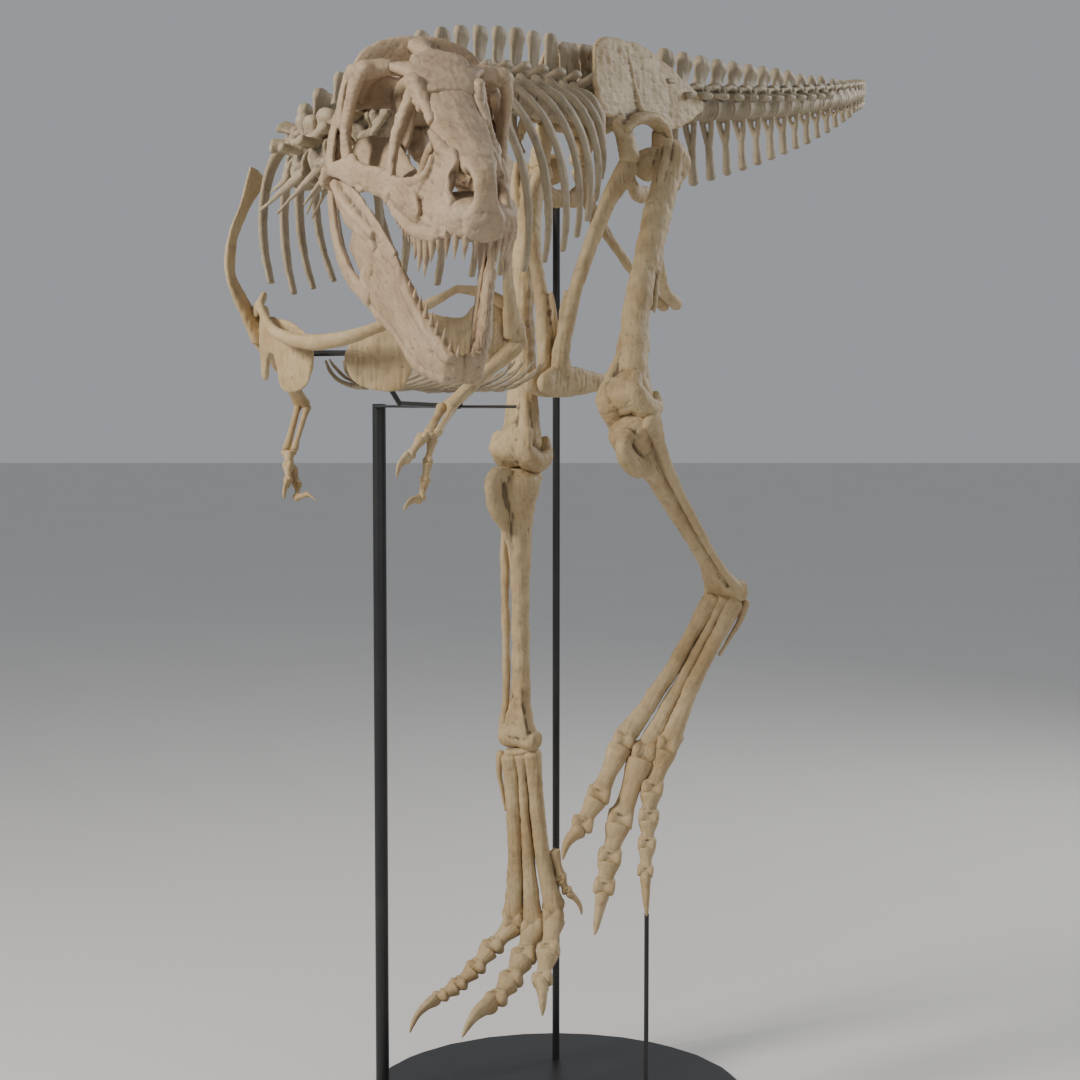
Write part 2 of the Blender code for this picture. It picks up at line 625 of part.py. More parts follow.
def build_foot(side, tag):
    ankle = np.array(ANKLE[side], float)
    tips = TOES[side]
    middle = np.array(tips["iii"][0])
    down = unit(middle - ankle)
    out = unit(np.array(tips["iv"][0]) - np.array(tips["ii"][0]))
    top = ankle + down * 0.022
    fwd = np.cross(out, down)
    if fwd[1] > 0:
        fwd = -fwd
    pieces = [tube([(*(top - out * 0.046), 0.026, 0.018), (*top, 0.030, 0.016),
                    (*(top + out * 0.046), 0.026, 0.018)],
                   8, fwd, dome=0.4)]
    for key, shift, r in (("ii", -0.034, 0.024), ("iii", 0.0, 0.020), ("iv", 0.034, 0.024)):
        end = np.array(tips[key][0])
        start = top + out * shift + down * 0.012
        mid = start * 0.5 + end * 0.5 - out * shift * 0.25
        pieces.append(bone([(*start, r, r * 1.2), (*(start * 0.75 + mid * 0.25), r * 0.85, r),
                            (*mid, r * 0.80, r * 0.95), (*(mid * 0.35 + end * 0.65), r * 0.85, r * 0.95),
                            (*(end - down * 0.030), r * 1.12, r * 1.1)], 7, 8, out))
        pieces.append(tube([(*(end - down * 0.012 + fwd * 0.006 - out * 0.018), 0.027, 0.027),
                            (*(end - down * 0.012 + fwd * 0.006 + out * 0.018), 0.027, 0.027)], 8, fwd,
                            dome=0.4))
    splint = top + out * 0.066 - fwd * 0.006
    pieces.append(bone([(*splint, 0.012, 0.014), (*(splint + down * 0.06 + out * 0.008 - fwd * 0.012),
                                                  0.008, 0.010),
                        (*(splint + down * 0.15 - fwd * 0.022), 0.005, 0.006)], 4, 6, out))
    fuse("metatarsus_" + tag, pieces, "limb_bone")
    for key, points in tips.items():
        fuse("toe_" + key + "_" + tag, toe_pieces(points, TOE_RADIUS[key], out), "limb_bone", 0.8)
    first = [tuple(np.array(tips["ii"][0]) - down * up - out * inward - fwd * back) for up, inward,
             back in HALLUX[side]]
    fuse("toe_i_" + tag, toe_pieces(first, 0.016, out), "limb_bone")


HANDS = {
    1: [[(0.318, -1.076, 1.790), (0.312, -1.100, 1.778), (0.305, -1.135, 1.742), (0.299, -1.171, 1.699)],
        [(0.324, -1.076, 1.780), (0.330, -1.104, 1.728), (0.333, -1.120, 1.690), (0.333, -1.134, 1.655),
         (0.319, -1.178, 1.632)]],
    -1: [[(-0.318, -0.726, 1.732), (-0.300, -0.752, 1.700), (-0.286, -0.772, 1.665),
          (-0.276, -0.800, 1.628)],
         [(-0.322, -0.724, 1.730), (-0.296, -0.738, 1.690), (-0.276, -0.748, 1.655),
          (-0.260, -0.773, 1.628),
          (-0.185, -0.788, 1.618)]],
}


def build_arm(side, tag):
    shoulder, elbow, wrist = (np.array(j[side], float) for j in (SHOULDER, ELBOW, WRIST))
    s = side
    strap = bone([(s * 0.338, -0.806, 2.385, 0.006, 0.034), (s * 0.352, -0.832, 2.330, 0.005, 0.020),
                  (s * 0.372, -0.862, 2.230, 0.006, 0.016), (s * 0.376, -0.864, 2.150, 0.007, 0.017),
                  (s * 0.362, -0.830, 2.070, 0.009, 0.022), (s * 0.345, -0.790, 2.010, 0.014, 0.034)],
                 9, 8, (1, 0, 0))
    plate = [(-0.020, 0.030), (0.030, 0.085), (0.090, 0.075), (0.120, 0.045), (0.200, 0.055),
             (0.290, 0.040),
             (0.345, 0.005), (0.365, -0.045), (0.345, -0.090), (0.270, -0.115), (0.180, -0.112),
             (0.100, -0.085),
             (0.040, -0.045), (-0.015, -0.030)]
    inward = unit(np.array((-s * 0.320, -0.235, 0.0)))
    face = np.cross(inward, (0, 0, 1))

    def place(u, v, w):
        bulge = -0.04 * math.sin(max(0.0, min(1.0, u / 0.36)) * math.pi) * s
        return np.array((s * 0.345, -0.775, 1.990)) + inward * u + np.array((0, 0, v)) + face * (w + bulge)
    pieces = [strap, slab(plate, place, 0.016), ball((s * 0.345, -0.780, 1.998), (0.022, 0.028, 0.030))]
    fuse("scapula_" + tag, pieces, "limb_bone")

    d = unit(elbow - shoulder)
    side_axis = unit(np.cross(d, (0, 0, 1)))
    start = shoulder + d * 0.012
    humerus = [bone([(*start, 0.030, 0.018), (*(start + d * 0.05), 0.022, 0.014),
                     (*(start + d * 0.11), 0.013, 0.012),
                     (*(elbow - d * 0.03), 0.018, 0.013), (*(elbow - d * 0.004), 0.024, 0.015)], 7, 8,
                     side_axis)]
    fuse("humerus_" + tag, humerus, "limb_bone")
    d = unit(wrist - elbow)
    side_axis = unit(np.cross(d, (0, 0, 1)))
    a, b = elbow + d * 0.004, wrist - d * 0.004
    forearm = [bone([(*(a + side_axis * 0.010 - d * 0.012), 0.015, 0.014),
                     (*(a + side_axis * 0.012 + d * 0.05), 0.009, 0.009),
                     (*(b + side_axis * 0.010), 0.012, 0.011)], 6, 8, side_axis),
               bone([(*(a - side_axis * 0.012), 0.013, 0.012),
                     (*(a - side_axis * 0.014 + d * 0.05), 0.008, 0.008),
                     (*(b - side_axis * 0.008), 0.011, 0.010)], 6, 8, side_axis)]
    fuse("forearm_" + tag, forearm, "limb_bone")
    hand = [ball(tuple(wrist + d * 0.010), (0.020, 0.018, 0.014))]
    for k, finger in enumerate(HANDS[side]):
        hand += toe_pieces(finger, 0.012 - 0.001 * k, (1, 0, 0), 4)
    fuse("hand_" + tag, hand, "limb_bone", 0.6)


def build_furcula():
    points = []
    for x, y, z, r in ((-0.262, -0.888, 2.096, 0.009), (-0.225, -0.945, 2.062, 0.011),
                       (-0.120, -1.022, 2.004, 0.014),
                       (0.0, -1.046, 1.982, 0.017), (0.120, -1.022, 2.004, 0.014),
                       (0.225, -0.945, 2.062, 0.011),
                       (0.262, -0.888, 2.096, 0.009)):
        points.append((x, y, z, r, r * 0.8))
    ends = []
    for s in (1, -1):
        ends.append(bone([(s * 0.262, -0.885, 2.098, 0.010, 0.008),
                          (s * 0.300, -0.845, 2.090, 0.012, 0.008),
                          (s * 0.350, -0.812, 2.062, 0.016, 0.009)], 3, 6, (0, 0, 1)))
    fuse("furcula", [bone(points, 11, 6, (0, 0, 1))] + ends, "limb_bone")


def build_gastralia():
    """Belly ribs: a middle rod with a pair of thin rods to each side, row after row."""
    pieces = [bone([(0, -0.885, 1.892, 0.012, 0.008), (0, -0.60, 1.882, 0.012, 0.008),
                    (0, -0.27, 1.884, 0.012, 0.008)],
                   7, 6)]
    for k in range(GASTRALIA):
        y = -0.865 + 0.057 * k
        reach = 0.150 - 0.006 * k
        for s in (1, -1):
            pieces.append(bone([(s * 0.002, y, 1.890, 0.006, 0.005),
                                (s * reach * 0.5, y + 0.030, 1.898, 0.0055, 0.0045),
                                (s * reach * 0.85, y + 0.050, 1.922, 0.0045, 0.004),
                                (s * reach, y + 0.062, 1.950, 0.003, 0.003)], 4, 3, (0, 1, 0)))
    fuse("gastralia", pieces, "trunk_bone", 0.8)


# Head

def turn(axis, angle):
    c, s = math.cos(angle), math.sin(angle)
    m = {"x": ((1, 0, 0), (0, c, -s), (0, s, c)), "y": ((c, 0, s), (0, 1, 0), (-s, 0, c)),
         "z": ((c, -s, 0), (s, c, 0), (0, 0, 1))}[axis]
    return np.array(m)


HEAD = turn("z", HEAD_YAW) @ turn("y", HEAD_PITCH) @ turn("x", HEAD_ROLL)
JAW = HEAD @ turn("y", JAW_OPEN) @ turn("z", JAW_SWING)


def local(points, frame):
    return [(*(np.array(JAW_JOINT) + frame @ np.array(p[:3])), *p[3:]) for p in points]


def tooth(root, length, radius, frame, lean=-0.15, up=-1):
    f, l, u = root
    rows = local([(f, l, u - up * 0.012, radius, radius * 0.75),
                  (f + lean * length * 0.3, l, u + up * length * 0.5, radius * 0.75, radius * 0.5),
                  (f + lean * length, l, u + up * length, 0.0012, 0.0010)], frame)
    return tube([rows[0], rows[2]], 4, frame @ np.array((1, 0, 0)), dome=0.4)


TOOTH_ROW = ((0.684, 0.016, 0.034), (0.672, 0.042, 0.036), (0.650, 0.060, 0.038), (0.620, 0.074, 0.026),
             (0.596, 0.080, 0.046), (0.570, 0.083, 0.074), (0.542, 0.085, 0.064), (0.512, 0.086, 0.048),
             (0.482, 0.086, 0.028), (0.452, 0.087, 0.026), (0.420, 0.088, 0.026), (0.388, 0.088, 0.020))


def snout_half(f):
    """Half width of the snout's side wall at f metres forward of the jaw joint."""
    return float(np.interp(f, (0.30, 0.36, 0.48, 0.58, 0.64, 0.66),
                           (0.100, 0.094, 0.091, 0.087, 0.070, 0.058)))


def build_skull():
    side_axis, up_axis, fore_axis = (HEAD @ np.array(v) for v in ((0, 1, 0), (0, 0, 1), (1, 0, 0)))

    def put(points, count=4, sides=6, wide=side_axis, dome=0.5):
        return bone(local(points, HEAD), count, sides, wide, dome)

    def flat(outline, at, thick):
        return slab(outline, lambda u, v, w: tuple(local([at(u, v, w)], HEAD)[0]), thick)
    pieces = [
        put([(-0.010, 0, 0.130, 0.045, 0.045), (0.060, 0, 0.150, 0.050, 0.050),
             (0.160, 0, 0.170, 0.050, 0.038),
             (0.250, 0, 0.185, 0.055, 0.026)]),
        put([(-0.045, 0, 0.128, 0.018, 0.018), (-0.005, 0, 0.130, 0.022, 0.022)], 3, 8),
        flat([(-0.136, 0.130), (-0.130, 0.190), (-0.100, 0.236), (-0.045, 0.256), (0.045, 0.256),
              (0.100, 0.236),
              (0.130, 0.190), (0.136, 0.130), (0.070, 0.095), (0, 0.075), (-0.070, 0.095)],
             lambda u, v, w: (0.018 + w, u, v), 0.020),
        put([(0.010, 0, 0.238, 0.014, 0.016), (0.080, 0, 0.228, 0.018, 0.022),
             (0.150, 0, 0.228, 0.036, 0.022)]),
        flat([(0.130, -0.135), (0.170, -0.138), (0.205, -0.090), (0.250, -0.072), (0.300, -0.080),
              (0.350, -0.048),
              (0.350, 0.048), (0.300, 0.080), (0.250, 0.072), (0.205, 0.090), (0.170, 0.138),
              (0.130, 0.135),
              (0.120, 0.050), (0.120, -0.050)],
             lambda u, v, w: (u, v, 0.226 - 0.28 * abs(v) - 0.16 * max(0, u - 0.25) + w), 0.026),
        put([(0.150, 0, 0.232, 0.034, 0.016), (0.210, 0, 0.236, 0.044, 0.016),
             (0.280, 0, 0.212, 0.036, 0.014)]),
        put([(0.320, 0, 0.186, 0.044, 0.017), (0.400, 0, 0.160, 0.046, 0.021),
             (0.480, 0, 0.138, 0.048, 0.023),
             (0.575, 0, 0.122, 0.045, 0.017), (0.640, 0, 0.112, 0.020, 0.011)], 5, 8),
        put([(0.640, 0, 0.112, 0.014, 0.011), (0.680, 0, 0.092, 0.015, 0.012),
             (0.688, 0, 0.040, 0.020, 0.015)], 4, 8),
        put([(0.560, 0, 0.024, 0.080, 0.034), (0.610, 0, 0.024, 0.076, 0.034),
             (0.655, 0, 0.025, 0.058, 0.033),
             (0.682, 0, 0.027, 0.036, 0.030)], 4, 10),
        flat([(0.330, -0.085), (0.460, -0.066), (0.600, -0.045), (0.600, 0.045), (0.460, 0.066),
              (0.330, 0.085)],
             lambda u, v, w: (u, v, 0.030 + w), 0.014),
    ]
    for s in (1, -1):
        pieces += [
            put([(0.030, s * 0.128, 0.160, 0.014, 0.018), (0.090, s * 0.136, 0.182, 0.014, 0.016),
                 (0.150, s * 0.130, 0.192, 0.018, 0.018)], 4, 8),
            put([(0.148, s * 0.132, 0.200, 0.014, 0.024), (0.160, s * 0.140, 0.120, 0.010, 0.018),
                 (0.175, s * 0.148, 0.030, 0.010, 0.026)], 5, 8),
            put([(0.345, s * 0.100, 0.022, 0.008, 0.018), (0.260, s * 0.132, 0.022, 0.009, 0.020),
                 (0.180, s * 0.150, 0.014, 0.011, 0.030), (0.100, s * 0.156, 0.012, 0.009, 0.016),
                 (0.005, s * 0.152, 0.000, 0.010, 0.022)], 8, 8),
            put([(0.000, s * 0.148, -0.010, 0.022, 0.022), (0.008, s * 0.146, 0.060, 0.012, 0.026),
                 (0.028, s * 0.132, 0.150, 0.014, 0.020)], 5, 8),
            put([(0.000, s * 0.118, -0.014, 0.018, 0.018), (0.000, s * 0.170, -0.014, 0.018, 0.018)], 3, 8,
                fore_axis),
            put([(0.292, s * 0.066, 0.208, 0.020, 0.024), (0.296, s * 0.080, 0.120, 0.010, 0.018),
                 (0.312, s * 0.096, 0.030, 0.010, 0.024)], 6, 8),
            flat([(0.300, 0.012), (0.340, -0.004), (0.400, -0.016), (0.500, -0.021), (0.570, -0.016),
                  (0.640, 0.000),
                  (0.655, 0.050), (0.625, 0.090), (0.580, 0.118), (0.520, 0.142), (0.490, 0.122),
                  (0.470, 0.085),
                  (0.430, 0.062), (0.350, 0.046), (0.310, 0.040)],
                 lambda u, v, w, s=s: (u, s * (snout_half(u) - 0.36 * max(0.0, v - 0.03) + w), v), 0.018),
            put([(0.020, s * 0.120, 0.020, 0.010, 0.014), (0.120, s * 0.070, 0.020, 0.014, 0.014),
                 (0.240, s * 0.050, 0.030, 0.020, 0.012), (0.360, s * 0.050, 0.032, 0.022, 0.010)], 6, 8),
            put([(0.010, s * 0.100, 0.140, 0.020, 0.030), (0.020, s * 0.050, 0.130, 0.020, 0.030)], 3, 8,
                fore_axis),
        ]
        for f, l, size in TOOTH_ROW:
            pieces.append(tooth((f, s * l, 0.002 - 0.02 * max(0.0, min(1.0, (0.66 - f) / 0.1))), size,
                                0.0095, HEAD))
    fuse("skull", pieces, "skull_bone", 0.62)


LOWER_ROW = ((0.586, 0.016, 0.030), (0.568, 0.032, 0.036), (0.544, 0.042, 0.038), (0.516, 0.050, 0.036),
             (0.488, 0.056, 0.034), (0.460, 0.063, 0.032), (0.432, 0.069, 0.028), (0.404, 0.076, 0.024),
             (0.376, 0.082, 0.018))


def jaw_half(f):
    """Half width between the two sides of the jaw at f metres forward of its joint."""
    return float(np.interp(f, (0.0, 0.1, 0.2, 0.3, 0.4, 0.5, 0.56, 0.60),
                           (0.147, 0.145, 0.130, 0.104, 0.076, 0.052, 0.034, 0.018)))


def build_jaw():
    side_axis = JAW @ np.array((0, 1, 0))
    outline = [(-0.045, -0.030), (-0.030, -0.006), (0.010, -0.012), (0.050, 0.010), (0.087, 0.030),
               (0.150, 0.055),
               (0.205, 0.068), (0.277, 0.074), (0.340, 0.076), (0.372, 0.060), (0.420, 0.044),
               (0.520, 0.042),
               (0.575, 0.048), (0.600, 0.036), (0.602, -0.016), (0.552, -0.046), (0.508, -0.067),
               (0.415, -0.077),
               (0.349, -0.086), (0.261, -0.112), (0.188, -0.136), (0.098, -0.136), (0.016, -0.110),
               (-0.030, -0.070)]
    pieces = []
    for s in (1, -1):
        def place(u, v, w, s=s):
            return tuple(local([(u, s * (jaw_half(u) + w), v)], JAW)[0])
        pieces.append(slab(outline, place, 0.022))
        pieces.append(bone(local([(-0.02, s * 0.118, -0.030, 0.020, 0.014),
                                  (-0.02, s * 0.168, -0.030, 0.020, 0.014)], JAW),
                           3, 8, JAW @ np.array((1, 0, 0))))
        for f, l, size in LOWER_ROW:
            pieces.append(tooth((f, s * l, 0.038), size, 0.0085, JAW, up=1))
    pieces.append(bone(local([(0.572, -0.036, 0.004, 0.022, 0.036), (0.590, 0, 0.004, 0.020, 0.034),
                              (0.572, 0.036, 0.004, 0.022, 0.036)], JAW), 4, 8, JAW @ np.array((1, 0, 0))))
    fuse("jaw", pieces, "skull_bone", 0.7)


# Stand

def build_stand():
    ring = []
    for z, r in ((0.0, BASE_RADIUS), (BASE_THICK - 0.004, BASE_RADIUS), (BASE_THICK, BASE_RADIUS - 0.004)):
        ring.append((0, 0, z, r, r))
    fuse("stand_base", [tube(ring, 48, (1, 0, 0), dome=0.0)], "stand_black")
    x, y = POST_AT
    top = CRADLE_Z + 0.006
    fuse("stand_post", [tube([(x, y, BASE_THICK + GAP, POST_RADIUS, POST_RADIUS),
                              (x, y, top, POST_RADIUS, POST_RADIUS)],
                             24, (1, 0, 0), dome=0.0)], "stand_black")
    bar = [(x, y, CRADLE_Z, 0.004, 0.020), (-0.300, -0.350, CRADLE_Z, 0.004, 0.020),
           (-0.120, -0.455, CRADLE_Z, 0.004, 0.020), (0.020, -0.470, CRADLE_Z, 0.004, 0.020),
           (0.130, -0.420, CRADLE_Z, 0.004, 0.020)]
    rest = tube([(0.0, -0.470, CRADLE_Z, 0.008, 0.008), (0.0, -0.470, 1.885, 0.008, 0.008)], 6, (1, 0, 0),
                dome=0.0)
    fuse("stand_cradle", [bone(bar, 12, 8, (0, 0, 1), dome=0.1), rest], "stand_black")
    yoke = [bone([(0.004, -0.475, CRADLE_Z, 0.006, 0.006), (0.050, -0.700, 1.840, 0.006, 0.006),
                  (0.090, -0.840, 1.844, 0.006, 0.006), (0.105, -0.905, 1.876, 0.006, 0.006),
                  (0.105, -0.940, 1.940, 0.006, 0.006), (0.105, -0.943, 1.968, 0.006, 0.006)], 12, 6),
            bone([(-0.215, -0.925, 1.965, 0.006, 0.006), (-0.100, -0.945, 1.960, 0.006, 0.006),
                  (0.000, -0.950, 1.960, 0.006, 0.006), (0.100, -0.945, 1.960, 0.006, 0.006),
                  (0.215, -0.925, 1.965, 0.006, 0.006)], 7, 6, (0, 0, 1))]
    fuse("stand_yoke", yoke, "stand_black")
    x, y = HIP_ROD_AT
    fuse("stand_rod_hip", [tube([(x, y, BASE_THICK + GAP, HIP_ROD_RADIUS, HIP_ROD_RADIUS),
                                 (x, y, 2.400, HIP_ROD_RADIUS, HIP_ROD_RADIUS)], 16, (1, 0, 0), dome=0.0)],
                                 "stand_black")
    x, y, z = TOES[1]["iv"][-1]
    fuse("stand_rod_foot", [tube([(x, y, BASE_THICK + GAP, FOOT_ROD_RADIUS, FOOT_ROD_RADIUS),
                                  (x, y, z + 0.012, FOOT_ROD_RADIUS, FOOT_ROD_RADIUS)], 12, (1, 0, 0),
                                  dome=0.0)],
         "stand_black")


for old in list(bpy.data.objects):
    bpy.data.objects.remove(old)

build_skull()
build_jaw()
build_neck()
build_trunk()
build_sacrum()
build_tail()
build_hips()
for leg_side, leg_tag in ((1, "left"), (-1, "right")):
    build_leg(leg_side, leg_tag)
    build_foot(leg_side, leg_tag)
    build_arm(leg_side, leg_tag)
build_furcula()
build_gastralia()
build_stand()

for cut, by in (
    ("jaw", ["skull"]), ("neck", ["skull"]), ("torso_left", ["neck"]), ("torso_right", ["neck"]),
    ("sacrum", ["torso_left", "torso_right"]), ("ilium_left", ["sacrum", "torso_left"]),
    ("ilium_right", ["sacrum", "torso_right"]), ("tail_base", ["sacrum", "ilium_left", "ilium_right"]),
    ("tail_middle", ["tail_base"]), ("tail_tip", ["tail_middle"]),
    ("pubis_left", ["ilium_left"]), ("pubis_right", ["ilium_right"]),
    ("ischium_left", ["ilium_left", "pubis_left"]), ("ischium_right", ["ilium_right", "pubis_right"]),
    ("furcula", ["scapula_left", "scapula_right"]), ("stand_cradle", ["gastralia", "stand_post"]),
    ("stand_yoke", ["scapula_left", "scapula_right", "stand_cradle", "gastralia"]),
    ("stand_rod_hip", ["pubis_right", "ischium_right", "ilium_right", "femur_right"]),
    ("stand_rod_foot", ["toe_iv_left"]),
):
    carve(cut, by)
for tag in ("left", "right"):
    carve("femur_" + tag, ["ilium_" + tag, "pubis_" + tag, "ischium_" + tag])
    carve("shin_" + tag, ["femur_" + tag])
    carve("metatarsus_" + tag, ["shin_" + tag])
    for key in ("i", "ii", "iii", "iv"):
        carve("toe_" + key + "_" + tag, ["metatarsus_" + tag])
    carve("humerus_" + tag, ["scapula_" + tag])
    carve("forearm_" + tag, ["humerus_" + tag])
    carve("hand_" + tag, ["forearm_" + tag])

for node in NODES.values():
    node.data.shade_smooth()
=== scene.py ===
"""Looks of the mounted tyrannosaur skeleton: bones with their swellings, ridges, cracks and
stains, teeth, ribs and the black stand. Metres, +Z up, the trunk faces -Y, its left is +X."""
import json
import math

import bpy
import numpy as np
from mathutils import Matrix

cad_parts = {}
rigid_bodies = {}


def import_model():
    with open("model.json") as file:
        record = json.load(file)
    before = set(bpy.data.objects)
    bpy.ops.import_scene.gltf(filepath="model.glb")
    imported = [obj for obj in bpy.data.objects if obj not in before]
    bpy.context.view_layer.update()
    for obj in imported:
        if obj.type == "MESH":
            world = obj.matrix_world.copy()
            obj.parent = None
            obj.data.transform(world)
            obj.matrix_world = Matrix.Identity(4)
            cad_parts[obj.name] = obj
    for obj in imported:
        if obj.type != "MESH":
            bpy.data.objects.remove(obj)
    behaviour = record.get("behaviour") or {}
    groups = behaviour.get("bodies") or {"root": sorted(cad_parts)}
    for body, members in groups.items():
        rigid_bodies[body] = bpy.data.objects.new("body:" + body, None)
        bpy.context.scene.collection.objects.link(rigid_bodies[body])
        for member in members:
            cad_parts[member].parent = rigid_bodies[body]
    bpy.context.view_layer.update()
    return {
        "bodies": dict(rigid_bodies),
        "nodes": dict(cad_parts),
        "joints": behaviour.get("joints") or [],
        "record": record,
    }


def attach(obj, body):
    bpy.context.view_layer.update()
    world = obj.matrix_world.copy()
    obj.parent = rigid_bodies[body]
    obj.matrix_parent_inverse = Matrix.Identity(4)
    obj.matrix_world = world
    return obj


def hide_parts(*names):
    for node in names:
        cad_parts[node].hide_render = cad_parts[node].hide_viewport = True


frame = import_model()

# Camera: the photograph's place and lens
CAMERA_AT = (2.650, -4.590, 1.858)
CAMERA_TURN = (math.radians(90 - 3.945), 0.0, math.radians(30.48))
LENS, SENSOR = 67.67, 36.0

# Joints
HIP = {1: (0.160, 0.220, 2.480), -1: (-0.160, 0.220, 2.480)}
KNEE = {1: (0.353, -0.272, 1.811), -1: (-0.068, -0.082, 1.676)}
ANKLE = {1: (0.347, 0.309, 1.347), -1: (-0.137, 0.040, 0.940)}
SHOULDER = {1: (0.345, -0.775, 1.980), -1: (-0.345, -0.775, 2.000)}
ELBOW = {1: (0.272, -0.943, 1.840), -1: (-0.353, -0.624, 1.845)}
WRIST = {1: (0.320, -1.070, 1.790), -1: (-0.321, -0.719, 1.739)}
TAG = {1: "left", -1: "right"}

# Head
JAW_JOINT = np.array((0.383, -1.235, 2.309))
HEAD_YAW, HEAD_PITCH, HEAD_ROLL = math.radians(-45.8), math.radians(16.3), math.radians(-0.9)
JAW_OPEN = math.radians(27.0)
JAW_SWING = math.radians(1.5)

# Backbone
DORSALS, CERVICALS, SACRALS, CAUDALS, GASTRALIA = 13, 9, 5, 34, 11
TRUNK_PATH = [(0, 0.000, 2.615), (0, -0.130, 2.610), (0, -0.300, 2.603), (0, -0.480, 2.585),
              (0, -0.645, 2.555), (0, -0.810, 2.500), (0, -0.960, 2.430), (0, -1.060, 2.375)]
NECK_PATH = [(0, -1.060, 2.375), (0.020, -1.110, 2.345), (0.065, -1.150, 2.335), (0.130, -1.165, 2.352),
             (0.200, -1.155, 2.392), (0.270, -1.150, 2.430), (0.330, -1.185, 2.450), (0.375, -1.226, 2.447)]
SACRUM_PATH = [(0, 0.535, 2.672), (0, 0.270, 2.640), (0, 0.000, 2.615)]
TAIL_PATH = [(0, 0.535, 2.672), (0.032, 0.822, 2.704), (0.053, 1.111, 2.741), (0.056, 1.407, 2.786),
             (0.043, 1.700, 2.836), (0.007, 1.962, 2.885), (-0.066, 2.226, 2.934), (-0.185, 2.555, 2.985),
             (-0.339, 2.934, 3.038), (-0.520, 3.356, 3.097), (-0.640, 3.620, 3.130)]
RIB_WIDE = (0.155, 0.165, 0.195, 0.22, 0.235, 0.24, 0.24, 0.235, 0.225, 0.21, 0.19, 0.165, 0.13)
RIB_DROP = (0.34, 0.40, 0.42, 0.43, 0.45, 0.46, 0.45, 0.43, 0.40, 0.36, 0.31, 0.25, 0.17)
RIB_BACK = (0.00, 0.02, 0.05, 0.08, 0.10, 0.12, 0.13, 0.14, 0.14, 0.13, 0.12, 0.10, 0.06)

UP = np.array((0.0, 0.0, 1.0))


# Surfaces
def unit(v):
    """Each vector divided by its length."""
    v = np.asarray(v, float)
    return v / np.maximum(np.linalg.norm(v, axis=-1, keepdims=True), 1e-12)


def spline(rows, count):
    """Catmull-Rom curve through the rows, taken at count points an even distance apart."""
    p = np.array(rows, float)
    p = np.vstack([2 * p[0] - p[1], p, 2 * p[-1] - p[-2]])
    t = np.linspace(0, 1, 16, endpoint=False)[None, :, None]
    a, b, c, d = (p[k:len(p) - 3 + k, None] for k in range(4))
    fine = 0.5 * (2 * b + (c - a) * t + (2 * a - 5 * b + 4 * c - d) * t**2 + (3 * b - a - 3 * c + d) * t**3)
    fine = np.vstack([fine.reshape(-1, p.shape[1]), p[-2:-1]])
    run = np.r_[0, np.cumsum(np.linalg.norm(np.diff(fine[:, :3], axis=0), axis=1))]
    even = np.linspace(0, run[-1], count)
    return np.stack([np.interp(even, run, fine[:, j]) for j in range(fine.shape[1])], 1)


def rings(centre, half_u, half_w, around, power=2.0):
    """Closed surface: ring k is centre[k] + half_u[k] c + half_w[k] s, where c and s are cos and sin
    of the angle raised to 2/power with their sign; a pole closes each end."""
    turn = np.linspace(0, 2 * math.pi, around, endpoint=False)
    c, s = np.cos(turn), np.sin(turn)
    c = np.sign(c) * np.abs(c) ** (2 / power)
    s = np.sign(s) * np.abs(s) ** (2 / power)
    n = len(centre)
    body = centre[:, None] + c[None, :, None] * half_u[:, None] + s[None, :, None] * half_w[:, None]
    verts = np.vstack([body.reshape(-1, 3), centre[:1] + (centre[0] - centre[1]) * 0.3,
                       centre[-1:] + (centre[-1] - centre[-2]) * 0.3])
    i, j = np.meshgrid(np.arange(n - 1), np.arange(around), indexing="ij")
    k = (j + 1) % around
    quads = np.stack([i * around + j, i * around + k, (i + 1) * around + k, (i + 1) * around + j],
                     -1).reshape(-1, 4)
    j = np.arange(around)
    k = (j + 1) % around
    tris = np.vstack([np.stack([np.full(around, n * around), k, j], 1),
                      np.stack([np.full(around, n * around + 1), (n - 1) * around + j,
                                (n - 1) * around + k], 1)])
    handed = np.einsum("ij,ij->i", np.cross(half_u, half_w), np.gradient(centre, axis=0)).sum()
    if handed < 0:
        quads, tris = quads[:, ::-1], tris[:, ::-1]
    return verts, quads, tris


def sweep(rows, wide=(1, 0, 0), along=24, around=20, power=2.0, dome=0.7):
    """Profile carried along a path. A row is x, y, z, half width along wide, half width across it;
    the path is the spline of the rows, and each end closes as a quarter ellipse."""
    r = spline(rows, along)
    path, a, b = r[:, :3], np.maximum(r[:, 3], 2e-4), np.maximum(r[:, 4], 2e-4)
    tangent = unit(np.gradient(path, axis=0))
    wide = np.asarray(wide, float)
    u = unit(wide - tangent * (tangent @ wide)[:, None])
    w = np.cross(tangent, u)
    s = np.array((0.95, 0.8, 0.5, 0.25))[:, None]
    keep = np.sqrt(1 - s**2)[:, 0]
    first = path[0] - tangent[0] * s * dome * min(a[0], b[0])
    last = path[-1] + tangent[-1] * s[::-1] * dome * min(a[-1], b[-1])
    path = np.vstack([first, path, last])
    a = np.r_[a[0] * keep, a, a[-1] * keep[::-1]]
    b = np.r_[b[0] * keep, b, b[-1] * keep[::-1]]
    u = np.vstack([np.repeat(u[:1], 4, 0), u, np.repeat(u[-1:], 4, 0)])
    w = np.vstack([np.repeat(w[:1], 4, 0), w, np.repeat(w[-1:], 4, 0)])
    return rings(path, u * a[:, None], w * b[:, None], around, power)


